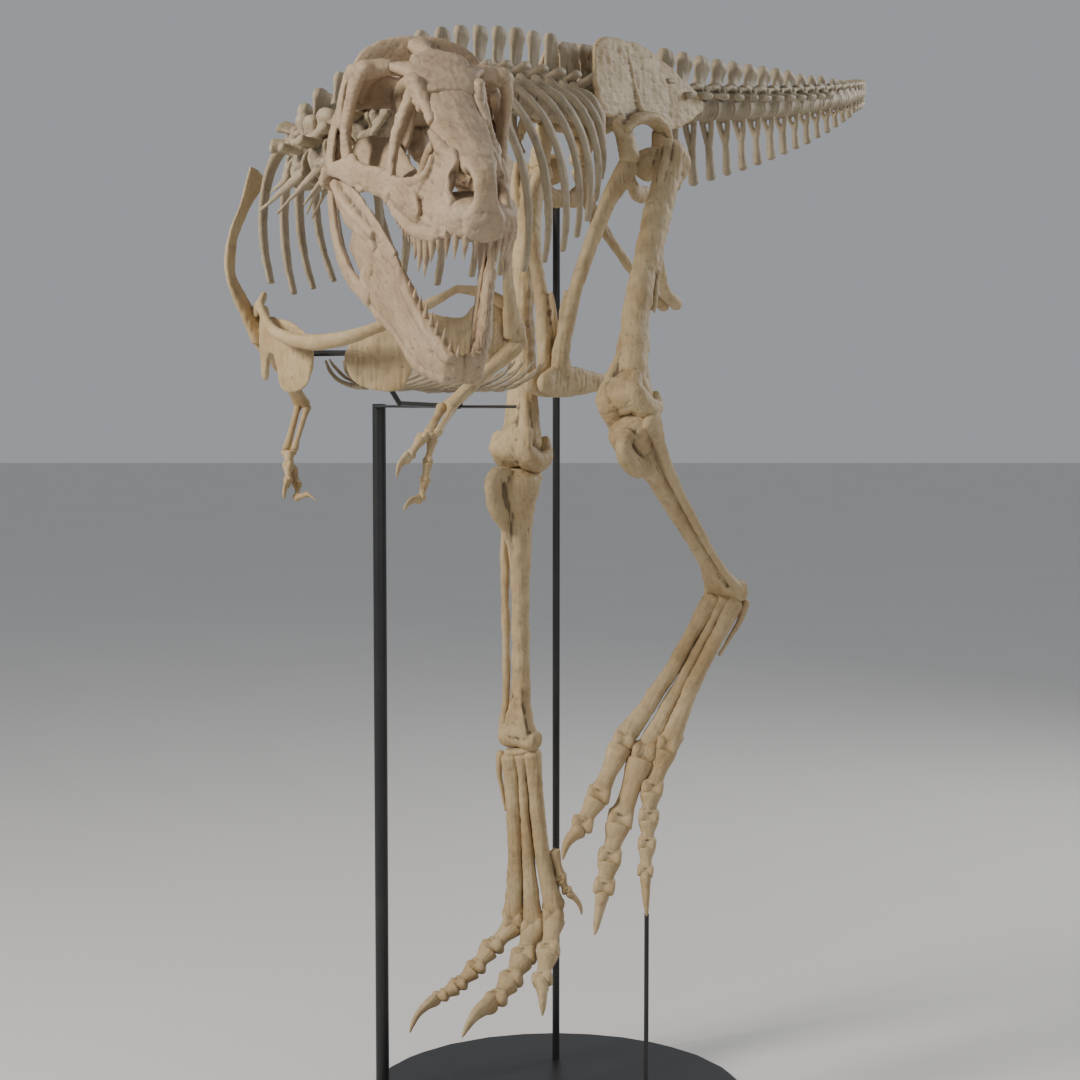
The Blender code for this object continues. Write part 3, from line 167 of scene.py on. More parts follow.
def blade(edge_a, edge_b, thick, along=40, around=40, power=2.6, bow=0.0):
    """Plate between two edge curves: the section at each step spans from one edge to the other, as
    thick as the spline of thick, and its middle is pushed out by bow; the ends taper shut."""
    a, b = spline(edge_a, along), spline(edge_b, along)
    t = np.interp(np.linspace(0, 1, along), np.linspace(0, 1, len(thick)), thick)
    centre, half = (a + b) / 2, (a - b) / 2
    tangent = unit(np.gradient(centre, axis=0))
    normal = unit(np.cross(tangent, unit(half)))
    end = np.clip(np.minimum(np.arange(along) + 1, along - np.arange(along)) / 2.5, 0, 1)
    end = np.sqrt(1 - (1 - end) ** 2) * 0.9 + 0.1
    centre = centre + normal * bow * np.sin(np.linspace(0, math.pi, along))[:, None]
    return rings(centre, half * end[:, None] ** 0.3, normal * (t * end / 2)[:, None], around, power)


def knob(centre, radii, axes=None, around=18):
    """Ellipsoid: rings of cos latitude at heights of sin latitude."""
    lat = np.linspace(-1.45, 1.45, 13)[:, None]
    m = np.eye(3) if axes is None else np.array([unit(v) for v in axes])
    x, y, z = (m[k] * radii[k] for k in range(3))
    centre = np.asarray(centre, float) + z * np.sin(lat)
    return rings(centre, x * np.cos(lat), y * np.cos(lat), around)


def pulley(centre, axle, radius, width, groove=0.16, around=24):
    """Grooved roller: its radius falls by groove in the middle and a little at both rims."""
    s = np.linspace(-1, 1, 13)
    r = radius * (1 - groove * np.exp(-(s / 0.42) ** 2) - 0.22 * np.abs(s) ** 6)
    axle = unit(axle)
    side = unit(np.cross(axle, UP + np.array((0.1, 0.2, 0))))
    other = np.cross(axle, side)
    path = np.asarray(centre, float) + axle * (s * width / 2)[:, None]
    return rings(path, side * r[:, None], other * r[:, None], around)


def moved(surface, turn, place):
    """Turned by a matrix, then shifted."""
    return surface[0] @ np.asarray(turn).T + np.asarray(place), surface[1], surface[2]


def ripple(points, size, seed, waves=28):
    """Smooth random field of about unit spread: a sum of plane waves of near size wavelength."""
    rng = np.random.default_rng(seed)
    k = unit(rng.normal(size=(waves, 3))) * (2 * math.pi / size) * rng.uniform(0.6, 1.6, (waves, 1))
    return np.sin(points @ k.T + rng.uniform(0, 2 * math.pi, waves)).sum(1) * math.sqrt(2.0 / waves)


def mesh_of(name, surfaces):
    """One mesh from several surfaces."""
    verts, quads, tris, base = [], [], [], 0
    for v, q, t in surfaces:
        verts.append(v)
        quads.append(q + base)
        tris.append(t + base)
        base += len(v)
    mesh = bpy.data.meshes.new(name)
    mesh.from_pydata(np.vstack(verts).tolist(), [], np.vstack(quads).tolist() + np.vstack(tris).tolist())
    obj = bpy.data.objects.new(name, mesh)
    bpy.context.scene.collection.objects.link(obj)
    return obj


def applied(obj):
    """The object's mesh with its modifiers worked in."""
    graph = bpy.context.evaluated_depsgraph_get()
    mesh = bpy.data.meshes.new_from_object(obj.evaluated_get(graph))
    obj.modifiers.clear()
    old = obj.data
    obj.data = mesh
    bpy.data.meshes.remove(old)
    mesh.name = obj.name


def read(mesh):
    """Points, normals and edges as arrays."""
    n = len(mesh.vertices)
    points, normals = np.empty(n * 3, np.float32), np.empty(n * 3, np.float32)
    mesh.vertices.foreach_get("co", points)
    mesh.vertex_normals.foreach_get("vector", normals)
    edges = np.empty(len(mesh.edges) * 2, np.int32)
    mesh.edges.foreach_get("vertices", edges)
    return points.reshape(-1, 3).astype(float), normals.reshape(-1, 3).astype(float), edges.reshape(-1, 2)


def averaged(values, edges, rounds):
    """Each value moved to the mean of itself and its neighbours, some rounds over."""
    n = len(values)
    a, b = edges[:, 0], edges[:, 1]
    count = np.bincount(a, minlength=n) + np.bincount(b, minlength=n) + 1.0
    for _ in range(rounds):
        total = np.stack([np.bincount(a, values[b, j], n) + np.bincount(b, values[a, j], n)
                          for j in range(values.shape[1])], 1)
        values = (values + total) / count[:, None]
    return values


def finish(obj, slot, mat, replaces, axis=None, rough=1.0, seed=1, box=None):
    """Roughen a bone's surface along its normals, store its hollows and its grain, and hand it over.
    The push is a slow wave, a finer one, and fibres drawn out along the bone's own axis."""
    mesh = obj.data
    p, normal, edges = read(mesh)
    axis = unit(UP if axis is None else axis)
    side = unit(np.cross(axis, (0.31, 0.87, 0.38)))
    grain = p @ np.stack([side, np.cross(axis, side), axis], 1)
    push = (0.0009 * ripple(p, 0.11, seed) + 0.00045 * ripple(p, 0.035, seed + 1)
            + 0.00032 * ripple(grain * (1, 1, 0.12), 0.012, seed + 2)
            - 0.0009 * np.clip(ripple(p, 0.022, seed + 3) - 1.5, 0, 1))
    p = p + normal * (push * rough)[:, None]
    if box is not None:
        p = np.clip(p, box[0], box[1])
    mesh.vertices.foreach_set("co", p.astype(np.float32).ravel())
    mesh.update()
    soft = averaged(p, edges, 10)
    hollow = np.einsum("ij,ij->i", soft - p, normal) / 0.0012
    layer = mesh.attributes.new("hollow", "FLOAT", "POINT")
    layer.data.foreach_set("value", hollow.astype(np.float32))
    layer = mesh.attributes.new("grain", "FLOAT_VECTOR", "POINT")
    layer.data.foreach_set("vector", grain.astype(np.float32).ravel())
    mesh.shade_smooth()
    mesh.materials.clear()
    mesh.materials.append(mat)
    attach(obj, "root")
    if replaces:
        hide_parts(*replaces)
    return obj


def bone(name, surfaces, slot, mat, replaces=(), voxel=0.003, smooth=4, **more):
    """Overlapping closed surfaces grown together on a fine grid, then smoothed and roughened."""
    obj = mesh_of(name, surfaces)
    mod = obj.modifiers.new("grow_together", "REMESH")
    mod.mode = "VOXEL"
    mod.voxel_size = voxel
    mod = obj.modifiers.new("even_out", "SMOOTH")
    mod.iterations = smooth
    mod.factor = 0.5
    applied(obj)
    return finish(obj, slot, mat, replaces, **more)


# Materials
class Value:
    """A shader number: arithmetic on it adds Math nodes."""

    def __init__(self, tree, socket):
        self.tree, self.socket = tree, socket

    def _math(self, how, *others):
        node = self.tree.nodes.new("ShaderNodeMath")
        node.operation = how
        for slot, item in zip(node.inputs, others):
            if isinstance(item, Value):
                self.tree.links.new(item.socket, slot)
            else:
                slot.default_value = item
        return Value(self.tree, node.outputs[0])

    def __add__(self, o): return self._math("ADD", self, o)
    def __radd__(self, o): return self._math("ADD", o, self)
    def __sub__(self, o): return self._math("SUBTRACT", self, o)
    def __rsub__(self, o): return self._math("SUBTRACT", o, self)
    def __mul__(self, o): return self._math("MULTIPLY", self, o)
    def __rmul__(self, o): return self._math("MULTIPLY", o, self)
    def __truediv__(self, o): return self._math("DIVIDE", self, o)
    def __pow__(self, o): return self._math("POWER", self, o)
    def __neg__(self): return self._math("MULTIPLY", self, -1.0)

    def clamp(self):
        node = self._math("ADD", self, 0.0)
        node.socket.node.use_clamp = True
        return node

    def step(self, low, high):
        """0 below low, 1 above high, an even rise between."""
        return ((self - low) / (high - low)).clamp()


class Paint:
    """One material and the nodes in it."""

    def __init__(self, name):
        self.mat = bpy.data.materials.new(name)
        self.mat.use_nodes = True
        self.tree = self.mat.node_tree
        self.shade = self.tree.nodes["Principled BSDF"]

    def node(self, kind, settings=(), out=0, **inputs):
        node = self.tree.nodes.new(kind)
        for key, value in dict(settings).items():
            setattr(node, key, value)
        for key, value in inputs.items():
            slot = node.inputs[int(key[1:]) if key[0] == "i" and key[1:].isdigit()
                               else key.replace("_", " ")]
            if isinstance(value, Value):
                self.tree.links.new(value.socket, slot)
            else:
                slot.default_value = value
        return Value(self.tree, node.outputs[out])

    def place(self):
        return self.node("ShaderNodeTexCoord", out=3)

    def attribute(self, name, out):
        return self.node("ShaderNodeAttribute", {"attribute_name": name}, out=out)

    def stretched(self, vector, scale):
        return self.node("ShaderNodeVectorMath", {"operation": "MULTIPLY"}, i0=vector, i1=scale)

    def noise(self, vector, scale, detail=4.0, rough=0.55):
        return self.node("ShaderNodeTexNoise", Vector=vector, Scale=scale, Detail=detail, Roughness=rough)

    def cells(self, vector, scale, feature="F1"):
        return self.node("ShaderNodeTexVoronoi", {"feature": feature}, Vector=vector, Scale=scale)

    def mix(self, factor, a, b, how="MIX"):
        """Colour a where the factor is 0, b where it is 1."""
        return self.node("ShaderNodeMix", {"data_type": "RGBA", "blend_type": how}, out=2, i0=factor, i6=a,
                         i7=b)

    def bump(self, height, strength, distance):
        return self.node("ShaderNodeBump", Height=height, Strength=strength, Distance=distance)

    def feed(self, slot, value):
        if isinstance(value, Value):
            self.tree.links.new(value.socket, self.shade.inputs[slot])
        else:
            self.shade.inputs[slot].default_value = value


def bone_paint(name, pale, warm, deep, crack_and_shade, stain=0.5):
    """Old bone: pale and warm patches, deep stains, fibres along the bone, fine cracks, pores in patches,
    painted shade darkening the hollows and a painted highlight on the bulging ridges."""
    p = Paint(name)
    place, grain, hollow = p.place(), p.attribute("grain", 1), p.attribute("hollow", 2)
    patch = p.noise(place, 7.0, 5.0, 0.6).step(0.36, 0.66)
    blotch = p.noise(place, 23.0, 6.0, 0.65)
    fibre = p.noise(p.stretched(grain, (150, 150, 14)), 1.0, 5.0, 0.6)
    speck = p.noise(place, 210.0, 4.0, 0.7)
    crack_field = p.cells(p.stretched(grain, (30, 30, 5)), 1.0, "DISTANCE_TO_EDGE") + (blotch - 0.5) * 0.16
    crack = (1.0 - crack_field.step(0.002, 0.012)) * p.noise(place, 9.0, 2.0).step(0.54, 0.66)
    pore = (1.0 - p.cells(place, 260.0).step(0.16, 0.34)) * p.noise(place, 16.0, 3.0).step(0.50, 0.64)
    colour = p.mix(patch, pale, warm)
    colour = p.mix(blotch.step(0.52, 0.80) * stain, colour, deep)
    colour = p.mix(fibre.step(0.50, 0.86) * 0.42, colour, deep)
    colour = p.mix(speck.step(0.55, 0.85) * 0.35, colour, deep)
    # painted shade: the hollows are darkened toward the dark colour that also marks the real cracks and
    # pores
    colour = p.mix(hollow.step(0.10, 1.10) * 0.72, colour, crack_and_shade)
    # painted highlight: the bulging ridges are lightened toward the pale colour
    colour = p.mix((-hollow).step(0.35, 1.50) * 0.35, colour, pale)
    colour = p.mix((crack * 0.35 + pore * 0.6).clamp(), colour, crack_and_shade)
    p.feed("Base Color", colour)
    p.feed("Roughness", 0.52 + 0.22 * blotch + 0.12 * crack)
    height = fibre * 0.35 + speck * 0.25 + blotch * 0.5 - crack * 0.3 - pore * 0.6
    p.feed("Normal", p.bump(height, 0.55, 0.0016))
    p.shade.inputs["Specular IOR Level"].default_value = 0.35
    return p.mat


def tooth_paint(name):
    """Tooth: brown enamel in lighter and darker patches, with fine dark lines along it."""
    p = Paint(name)
    place, grain = p.place(), p.attribute("grain", 1)
    streak = p.noise(p.stretched(grain, (420, 420, 40)), 1.0, 4.0)
    colour = p.mix(p.noise(place, 40.0, 3.0).step(0.4, 0.65), (0.44, 0.325, 0.205, 1),
                   (0.29, 0.200, 0.120, 1))
    colour = p.mix(streak.step(0.5, 0.8) * 0.5, colour, (0.17, 0.112, 0.066, 1))
    p.feed("Base Color", colour)
    p.feed("Roughness", 0.30 + 0.2 * streak)
    p.feed("Normal", p.bump(streak, 0.35, 0.0006))
    return p.mat


def black_paint(name, gloss):
    """Black coat on steel: faint orange peel, dust lying in patches, small scuffs."""
    p = Paint(name)
    place = p.place()
    dust = p.noise(place, 5.0, 6.0, 0.7)
    peel = p.noise(place, 420.0, 2.0)
    scuff = p.noise(p.stretched(place, (60, 60, 9)), 1.0, 6.0, 0.75).step(0.66, 0.80)
    colour = p.mix(dust.step(0.45, 0.85) * 0.6, (0.012, 0.012, 0.013, 1), (0.035, 0.034, 0.033, 1))
    colour = p.mix(scuff * 0.5, colour, (0.06, 0.06, 0.062, 1))
    p.feed("Base Color", colour)
    p.feed("Roughness", gloss + 0.22 * dust + 0.15 * scuff)
    p.feed("Normal", p.bump(peel, 0.12, 0.0004))
    return p.mat


SKULL = bone_paint("skull_bone", (0.46, 0.345, 0.225, 1), (0.36, 0.250, 0.150, 1), (0.165, 0.106, 0.062, 1),
                   (0.050, 0.034, 0.022, 1), 0.55)
LIMB = bone_paint("limb_bone", (0.52, 0.400, 0.230, 1), (0.40, 0.275, 0.135, 1), (0.165, 0.103, 0.048, 1),
                  (0.060, 0.038, 0.020, 1), 0.6)
TRUNK = bone_paint("trunk_bone", (0.41, 0.335, 0.225, 1), (0.29, 0.225, 0.140, 1), (0.120, 0.088, 0.056, 1),
                   (0.040, 0.030, 0.020, 1), 0.6)
TOOTH = tooth_paint("tooth")
BLACK = black_paint("stand_black", 0.30)


# Backbone
def along_path(path, count):
    """Ends and middles of count vertebrae along a path, and the directions there."""
    fine = spline([(*p,) for p in path], count * 2 + 1)
    return fine, unit(np.gradient(fine, axis=0))


def frame_at(d):
    """Across, up and along directions of a vertebra lying along d."""
    d = unit(d)
    across = unit(np.cross(d, UP))
    return across, np.cross(across, d), d


def spool(a, b, end, mid, around=28):
    """Centrum from a to b: its radius dips from end to mid between two rimmed faces."""
    a, b = np.asarray(a, float), np.asarray(b, float)
    across, up, d = frame_at(b - a)
    s = np.linspace(-1, 1, 17)
    r = mid + (end - mid) * np.abs(s) ** 2.2 - end * 0.12 * (np.abs(s) > 0.97)
    path = a + (b - a) * ((s * 0.47 + 0.5)[:, None])
    return rings(path, across * r[:, None], up * (r * 1.06)[:, None], around)


def vertebra(p, d, length, end, height, lean, spine_long, spine_thick, reach, rise, zyg=1.0, arch=0.62):
    """Centrum, arch, blade of the neural spine with a swollen tip, side processes, four facets."""
    across, up, d = frame_at(d)
    a, b = p - d * length / 2, p + d * length / 2
    out = [spool(a, b, end, end * 0.72)]
    out.append(sweep([(*(p + up * end * 0.5), end * arch, length * 0.34),
                      (*(p + up * end * 1.5), end * 0.42, length * 0.30)],
                     across, 10, 20, 2.6))
    lean_v = np.array((0.0, lean, 0.0))
    base = p + up * end * 0.9
    tip = np.array((p[0], p[1], p[2] + height - 0.010)) + lean_v
    long = spine_long * np.array((1.25, 0.84, 0.88, 1.08, 0.96))
    rows = [(*(base + (tip - base) * t), spine_thick * w, s) for t, w, s in
            zip((0, 0.3, 0.6, 0.88, 1.0), (1.7, 0.9, 0.85, 1.45, 1.35), long)]
    out.append(sweep(rows, across, 26, 24, 2.5, dome=0.9))
    for s in (1, -1):
        if reach > 0.02:
            root = p + up * end * 0.9 + across * s * end * 0.3
            end_at = p + up * (end * 0.9 + rise) + across * s * reach - d * 0.006
            out.append(sweep([(*root, length * 0.32, 0.012),
                              (*(root * 0.5 + end_at * 0.5), length * 0.22, 0.008),
                              (*end_at, length * 0.26, 0.010)], d, 14, 16, 2.6, dome=0.5))
        if zyg:
            q = p + up * end * 1.25 + across * s * end * 0.42
            out.append(sweep([(*(q + d * length * 0.1), 0.010, 0.009),
                              (*(q + d * length * 0.62 + up * 0.006), 0.013, 0.007)],
                             across, 8, 14, 2.6))
            out.append(sweep([(*(q - d * length * 0.1 + up * 0.004), 0.010, 0.009),
                              (*(q - d * length * 0.55 + up * 0.012), 0.012, 0.007)], across, 8, 14, 2.6))
    return out


def rib_rows(p, side, k):
    """Rib k from the front: outward by sin a, down by (1 - cos a), for a from 0 to 2.15."""
    wide, drop, back = RIB_WIDE[k], RIB_DROP[k], RIB_BACK[k]
    t = np.linspace(0, 1, 12)
    a = t * 2.15
    x = 0.010 + (wide - 0.010) * np.sin(a) ** 0.85
    z = 0.022 + 0.045 * np.sin(a) - drop * (1 - np.cos(a)) / (1 - math.cos(2.15))
    broad = np.interp(t, (0, 0.12, 0.35, 0.7, 1), (0.014, 0.013, 0.0155, 0.0130, 0.0100))
    thick = np.interp(t, (0, 0.12, 0.35, 0.7, 1), (0.009, 0.009, 0.0090, 0.0075, 0.0060))
    return np.stack([p[0] + side * x, p[1] + back * t**1.3, p[2] + z, broad, thick], 1)


def build_spine():
    """Neck, trunk and sacrum, one vertebra at a time, with the ribs of each side."""
    fine, along = along_path(TRUNK_PATH, DORSALS)
    step = np.linalg.norm(np.diff(fine, axis=0), axis=1).mean() * 2
    for k in range(DORSALS):
        p, d = fine[2 * k + 1], along[2 * k + 1]
        f = k / (DORSALS - 1)
        parts = vertebra(p, d, step * 0.97, 0.046 - 0.008 * f, 0.182 - 0.052 * f, 0.012, 0.029 - 0.004 * f,
                         0.0085, 0.085, 0.030 - 0.008 * f)
        bone("dorsal_%02d" % (DORSALS - k), parts, "trunk_bone", TRUNK, ("torso_left", "torso_right"),
             axis=UP, seed=100 + k, rough=0.8)
        for side in (1, -1):
            rows = rib_rows(p, side, DORSALS - 1 - k)
            head = rows[2, :3]
            parts = [sweep(rows, (0, 1, 0), 80, 20, 2.4, dome=0.5),
                     knob(rows[0, :3], (0.011, 0.013, 0.011)),
                     sweep([(*(head + (0, 0, 0.016)), 0.010, 0.010), (*rows[3, :3], 0.010, 0.007)],
                           (0, 1, 0), 8, 14)]
            bone("rib_%s_%02d" % (TAG[side], DORSALS - k), parts, "trunk_bone", TRUNK,
                 ("torso_" + TAG[side],), voxel=0.0022, smooth=3, axis=rows[8, :3] - rows[4, :3],
                 seed=140 + 2 * k + side, rough=0.55)
    fine, along = along_path(NECK_PATH, CERVICALS)
    step = np.linalg.norm(np.diff(fine, axis=0), axis=1).mean() * 2
    for k in range(CERVICALS):
        p, d = fine[2 * k + 1], along[2 * k + 1]
        f = k / (CERVICALS - 1)
        across, up, d = frame_at(d)
        parts = vertebra(p, d, step * 0.98, 0.043 - 0.008 * f, 0.122 - 0.045 * f, 0.0, 0.022, 0.0105, 0.066,
                         0.006)
        for s in (1, -1):
            a = p + across * s * 0.028 - up * 0.014
            parts.append(sweep([(*(a - across * s * 0.010 + up * 0.012), 0.016, 0.010),
                                (*(a + across * s * 0.010), 0.014, 0.008)],
                         d, 8, 14))
            if k < CERVICALS - 1:
                c = a + across * s * 0.030 - up * 0.052 - d * 0.125
                parts.append(sweep([(*(a + across * s * 0.008 + d * 0.02), 0.010, 0.007),
                                    (*(a * 0.6 + c * 0.4), 0.0075, 0.0055),
                              (*c, 0.0036, 0.0030)], UP, 24, 14))
        bone("cervical_%02d" % (CERVICALS - k), parts, "trunk_bone", TRUNK, ("neck",), seed=200 + k,
             rough=0.8, axis=d)
    fine, along = along_path(SACRUM_PATH, SACRALS)
    step = np.linalg.norm(np.diff(fine, axis=0), axis=1).mean() * 2
    for k in range(SACRALS):
        p, d = fine[2 * k + 1], along[2 * k + 1]
        parts = vertebra(p, d, step * 1.02, 0.045, 0.165, 0.004, step * 0.47, 0.008, 0.088, 0.03, 0.0)
        bone("sacral_%d" % (k + 1), parts, "trunk_bone", TRUNK, ("sacrum",), seed=230 + k, axis=UP)


def build_tail():
    """Caudal vertebrae, each with the chevron that hangs below its front joint."""
    fine, along = along_path(TAIL_PATH, CAUDALS)
    step = np.linalg.norm(np.diff(fine, axis=0), axis=1).mean() * 2
    for k in range(CAUDALS):
        p, d = fine[2 * k + 1], along[2 * k + 1]
        t = k / CAUDALS
        r = 0.046 - 0.036 * t**0.9
        tall = (max(0.165 - 0.0075 * k, 0.02 + r * 0.7) if k < 20 else r * 1.5) - (0.009 if k > 8 else 0.0)
        lean = (0.025 if k < 12 else 0.04) if k < 22 else 0.02
        node = "tail_base" if k < 12 else "tail_middle" if k < 23 else "tail_tip"
        parts = vertebra(p, d, step * 0.985, r, tall, lean, 0.0330 if k < 12 else 0.024,
                         max(0.0128 - 0.00030 * k, 0.0035),
                         0.105 - 0.006 * k if k < 12 else 0.0, -0.012, 0.8 if k < 24 else 0.0)
        fine_voxel = 0.003 if k < 14 else 0.0022
        bone("caudal_%02d" % (k + 1), parts, "trunk_bone", TRUNK, (node,), voxel=fine_voxel, seed=260 + k,
             axis=UP if k < 14 else d, rough=0.8 if k < 14 else 0.5)
        if 1 <= k < 26:
            q = fine[2 * k]
            low = max(0.235 - 0.0115 * k if k < 16 else 0.051 - 0.001 * (k - 16), r + 0.014) - 0.008
            slim = 1 - 0.024 * k
            parts = []
            for s in (1, -1):
                parts.append(sweep([(q[0] + s * 0.015, q[1] - 0.002, q[2] - r * 0.86, 0.0090 * slim, 0.011),
                                    (q[0] + s * 0.009, q[1] + 0.008, q[2] - r * 0.86 - (low - r) * 0.25,
                                     0.0090 * slim, 0.011),
                                    (q[0], q[1] + 0.018, q[2] - r * 0.86 - (low - r) * 0.5, 0.0100 * slim,
                                     0.013)],
                                   (1, 0, 0), 14, 14))
            parts.append(sweep([(q[0], q[1] + 0.016, q[2] - r * 0.86 - (low - r) * 0.42, 0.0120 * slim,
                                 0.013),
                                (q[0], q[1] + 0.022, q[2] - low * 0.8, 0.0125 * slim, 0.016),
                                (q[0], q[1] + 0.028, q[2] - low, 0.0150 * slim, 0.021)],
                               (1, 0, 0), 24, 18, dome=0.9))
            parts.append(sweep([(q[0] - 0.014, q[1] - 0.001, q[2] - r * 0.88, 0.008, 0.005),
                                (q[0] + 0.014, q[1] - 0.001, q[2] - r * 0.88, 0.008, 0.005)], (0, 1, 0), 8,
                                12))
            bone("chevron_%02d" % k, parts, "trunk_bone", TRUNK, (node,), voxel=0.0022, smooth=3,
                 seed=300 + k, rough=0.5)


# Limbs
def limb(a, b, forward, side):
    """place(t, f, l): t metres down from a toward b, f forward, l outward."""
    a, b = np.array(a, float), np.array(b, float)
    down = unit(b - a)
    fwd = np.array(forward, float)
    fwd = unit(fwd - down * (fwd @ down))
    out = np.cross(down, fwd)
    out = out if out[0] * side > 0 else -out
    return (lambda t, f, l: a + down * t + fwd * f + out * l), float(np.linalg.norm(b - a)), down, fwd, out


def rows_in(place, rows):
    """Rows given in a limb's own directions, placed in the world."""
    return [(*place(t, f, l), a, b) for t, f, l, a, b in rows]


def build_leg(side):
    """Thigh and shin of one leg."""
    tag = TAG[side]
    place, size, down, fwd, out = limb(HIP[side], KNEE[side], (0, -1, 0), side)
    parts = [
        sweep(rows_in(place, [(0.000, 0, 0.060, 0.042, 0.036), (0.060, 0.004, 0.058, 0.040, 0.036),
                              (0.140, 0.008, 0.050, 0.036, 0.034), (0.260, 0.016, 0.038, 0.034, 0.035),
                              (0.450, 0.024, 0.018, 0.031, 0.034), (0.620, 0.012, 0.005, 0.037, 0.037),
                              (size - 0.130, 0.004, 0.0, 0.048, 0.040),
                              (size - 0.070, 0, 0, 0.056, 0.042)]), out, 60, 36, 2.2),
        sweep(rows_in(place, [(0.000, 0, -0.018, 0.040, 0.040), (0.004, 0, 0.010, 0.042, 0.041),
                              (0.012, 0, 0.040, 0.034, 0.032), (0.012, 0, 0.066, 0.036, 0.032)]), down, 24,
                              28, 2.1),
        knob(place(0.000, 0, -0.012), (0.043, 0.043, 0.041), (down, fwd, out), 28),
        sweep(rows_in(place, [(-0.020, -0.006, 0.078, 0.018, 0.040), (0.018, -0.006, 0.086, 0.018, 0.041),
                              (0.070, -0.002, 0.078, 0.014, 0.034), (0.130, 0.002, 0.062, 0.010, 0.022)]),
                              out, 24, 22, 2.4),
        sweep(rows_in(place, [(-0.012, 0.036, 0.074, 0.013, 0.015), (0.045, 0.040, 0.072, 0.012, 0.014),
                              (0.110, 0.038, 0.062, 0.010, 0.010), (0.150, 0.032, 0.056, 0.007, 0.008)]),
                              out, 22, 18),
        sweep(rows_in(place, [(0.205, -0.020, 0.028, 0.007, 0.010), (0.250, -0.036, 0.022, 0.008, 0.013),
                              (0.290, -0.042, 0.018, 0.009, 0.014), (0.330, -0.036, 0.016, 0.008, 0.013),
                              (0.375, -0.020, 0.014, 0.006, 0.009)]), out, 22, 16),
        sweep(rows_in(place, [(0.300, -0.004, 0.052, 0.004, 0.005), (0.400, -0.006, 0.049, 0.004, 0.005),
                              (0.520, -0.014, 0.040, 0.004, 0.005)]), out, 22, 12),
        sweep(rows_in(place, [(size - 0.200, 0.030, -0.014, 0.010, 0.010),
                              (size - 0.140, 0.040, -0.028, 0.014, 0.012),
                              (size - 0.080, 0.044, -0.036, 0.018, 0.016)]), out, 16, 16),
    ]
    for l, drop, w in ((-0.037, 0.000, 0.031), (0.036, 0.008, 0.029)):
        parts.append(sweep(rows_in(place, [(size - 0.090, 0.044, l, w * 0.66, 0.014),
                                           (size - 0.040 - drop, 0.044, l, w * 0.92, 0.024),
                                           (size - 0.026 - drop, 0.008, l, w * 1.02, 0.030),
                                           (size - 0.028 - drop, -0.026, l, w, 0.028),
                                           (size - 0.060 - drop, -0.060, l * 0.95, w * 0.8, 0.020),
                                           (size - 0.105, -0.058, l * 0.9, w * 0.5, 0.012)]), out, 40, 26,
                                           2.3))
    parts.append(sweep(rows_in(place, [(size - 0.110, 0.032, 0, 0.040, 0.014),
                                       (size - 0.070, 0.046, 0, 0.046, 0.020),
                                       (size - 0.042, 0.040, 0, 0.050, 0.026),
                                       (size - 0.030, 0.014, 0, 0.050, 0.026)]), out, 30, 28, 2.4))
    bone("thigh_" + tag, parts, "limb_bone", LIMB, ("femur_" + tag,), voxel=0.0035, smooth=5, axis=down,
         seed=10 + side, rough=1.3)

    place, size, down, fwd, out = limb(KNEE[side], ANKLE[side], (0, -1, 0), side)
    parts = [
        sweep(rows_in(place, [(0.030, 0.002, -0.003, 0.052, 0.060), (0.060, 0.004, -0.004, 0.048, 0.060),
                              (0.110, 0.000, -0.005, 0.033, 0.044), (0.180, 0.004, -0.006, 0.026, 0.034),
                              (0.380, 0.004, -0.005, 0.0225, 0.025), (0.560, 0.000, -0.003, 0.0240, 0.024),
                              (0.660, 0.000, 0.000, 0.035, 0.025),
                              (size - 0.045, 0.002, 0.000, 0.047, 0.027)]), out, 70, 36, 2.3),
        sweep(rows_in(place, [(0.002, 0.046, 0.012, 0.020, 0.020), (0.002, 0.084, 0.018, 0.019, 0.026),
                              (0.040, 0.092, 0.020, 0.019, 0.028),
                              (0.090, 0.074, 0.016, 0.018, 0.028), (0.150, 0.036, 0.010, 0.012, 0.022),
                              (0.230, 0.018, 0.002, 0.010, 0.014)]), out, 34, 22, 2.4),
        sweep(rows_in(place, [(0.030, 0.020, 0.004, 0.024, 0.030), (0.090, 0.030, 0.010, 0.018, 0.032),
                              (0.160, 0.014, 0.004, 0.016, 0.024)]),
              out, 20, 24),
        knob(place(0.022, -0.024, -0.026), (0.026, 0.026, 0.036), (down, out, fwd), 22),
        knob(place(0.022, -0.022, 0.020), (0.024, 0.024, 0.034), (down, out, fwd), 22),
        pulley(place(size - 0.014, 0.002, 0.0), out, 0.031, 0.108, 0.20, 32),
        sweep(rows_in(place, [(size - 0.030, 0.026, 0.0, 0.040, 0.007),
                              (size - 0.075, 0.029, -0.003, 0.031, 0.006),
                              (size - 0.120, 0.027, -0.006, 0.019, 0.005),
                              (size - 0.170, 0.020, -0.008, 0.008, 0.004)]), out, 26, 20, 2.6),
        sweep(rows_in(place, [(size - 0.060, 0.006, 0.036, 0.014, 0.014),
                              (size - 0.012, 0.010, 0.044, 0.013, 0.022)]), out, 12, 16),
    ]
    bone("tibia_" + tag, parts, "limb_bone", LIMB, ("shin_" + tag,), voxel=0.0035, smooth=5, axis=down,
         seed=20 + side, rough=1.2)
    parts = [
        sweep(rows_in(place, [(0.014, -0.020, 0.050, 0.016, 0.040), (0.050, -0.014, 0.049, 0.014, 0.034),
                              (0.100, -0.006, 0.045, 0.012, 0.024),
                              (0.160, 0.002, 0.041, 0.011, 0.017), (0.230, 0.008, 0.038, 0.0125, 0.015),
                              (0.330, 0.012, 0.036, 0.0105, 0.012),
                              (0.500, 0.014, 0.034, 0.0100, 0.011), (0.620, 0.014, 0.035, 0.0105, 0.011),
                              (size - 0.070, 0.012, 0.041, 0.012, 0.012),
                              (size - 0.028, 0.010, 0.046, 0.014, 0.014)]), out, 80, 24, 2.2),
    ]
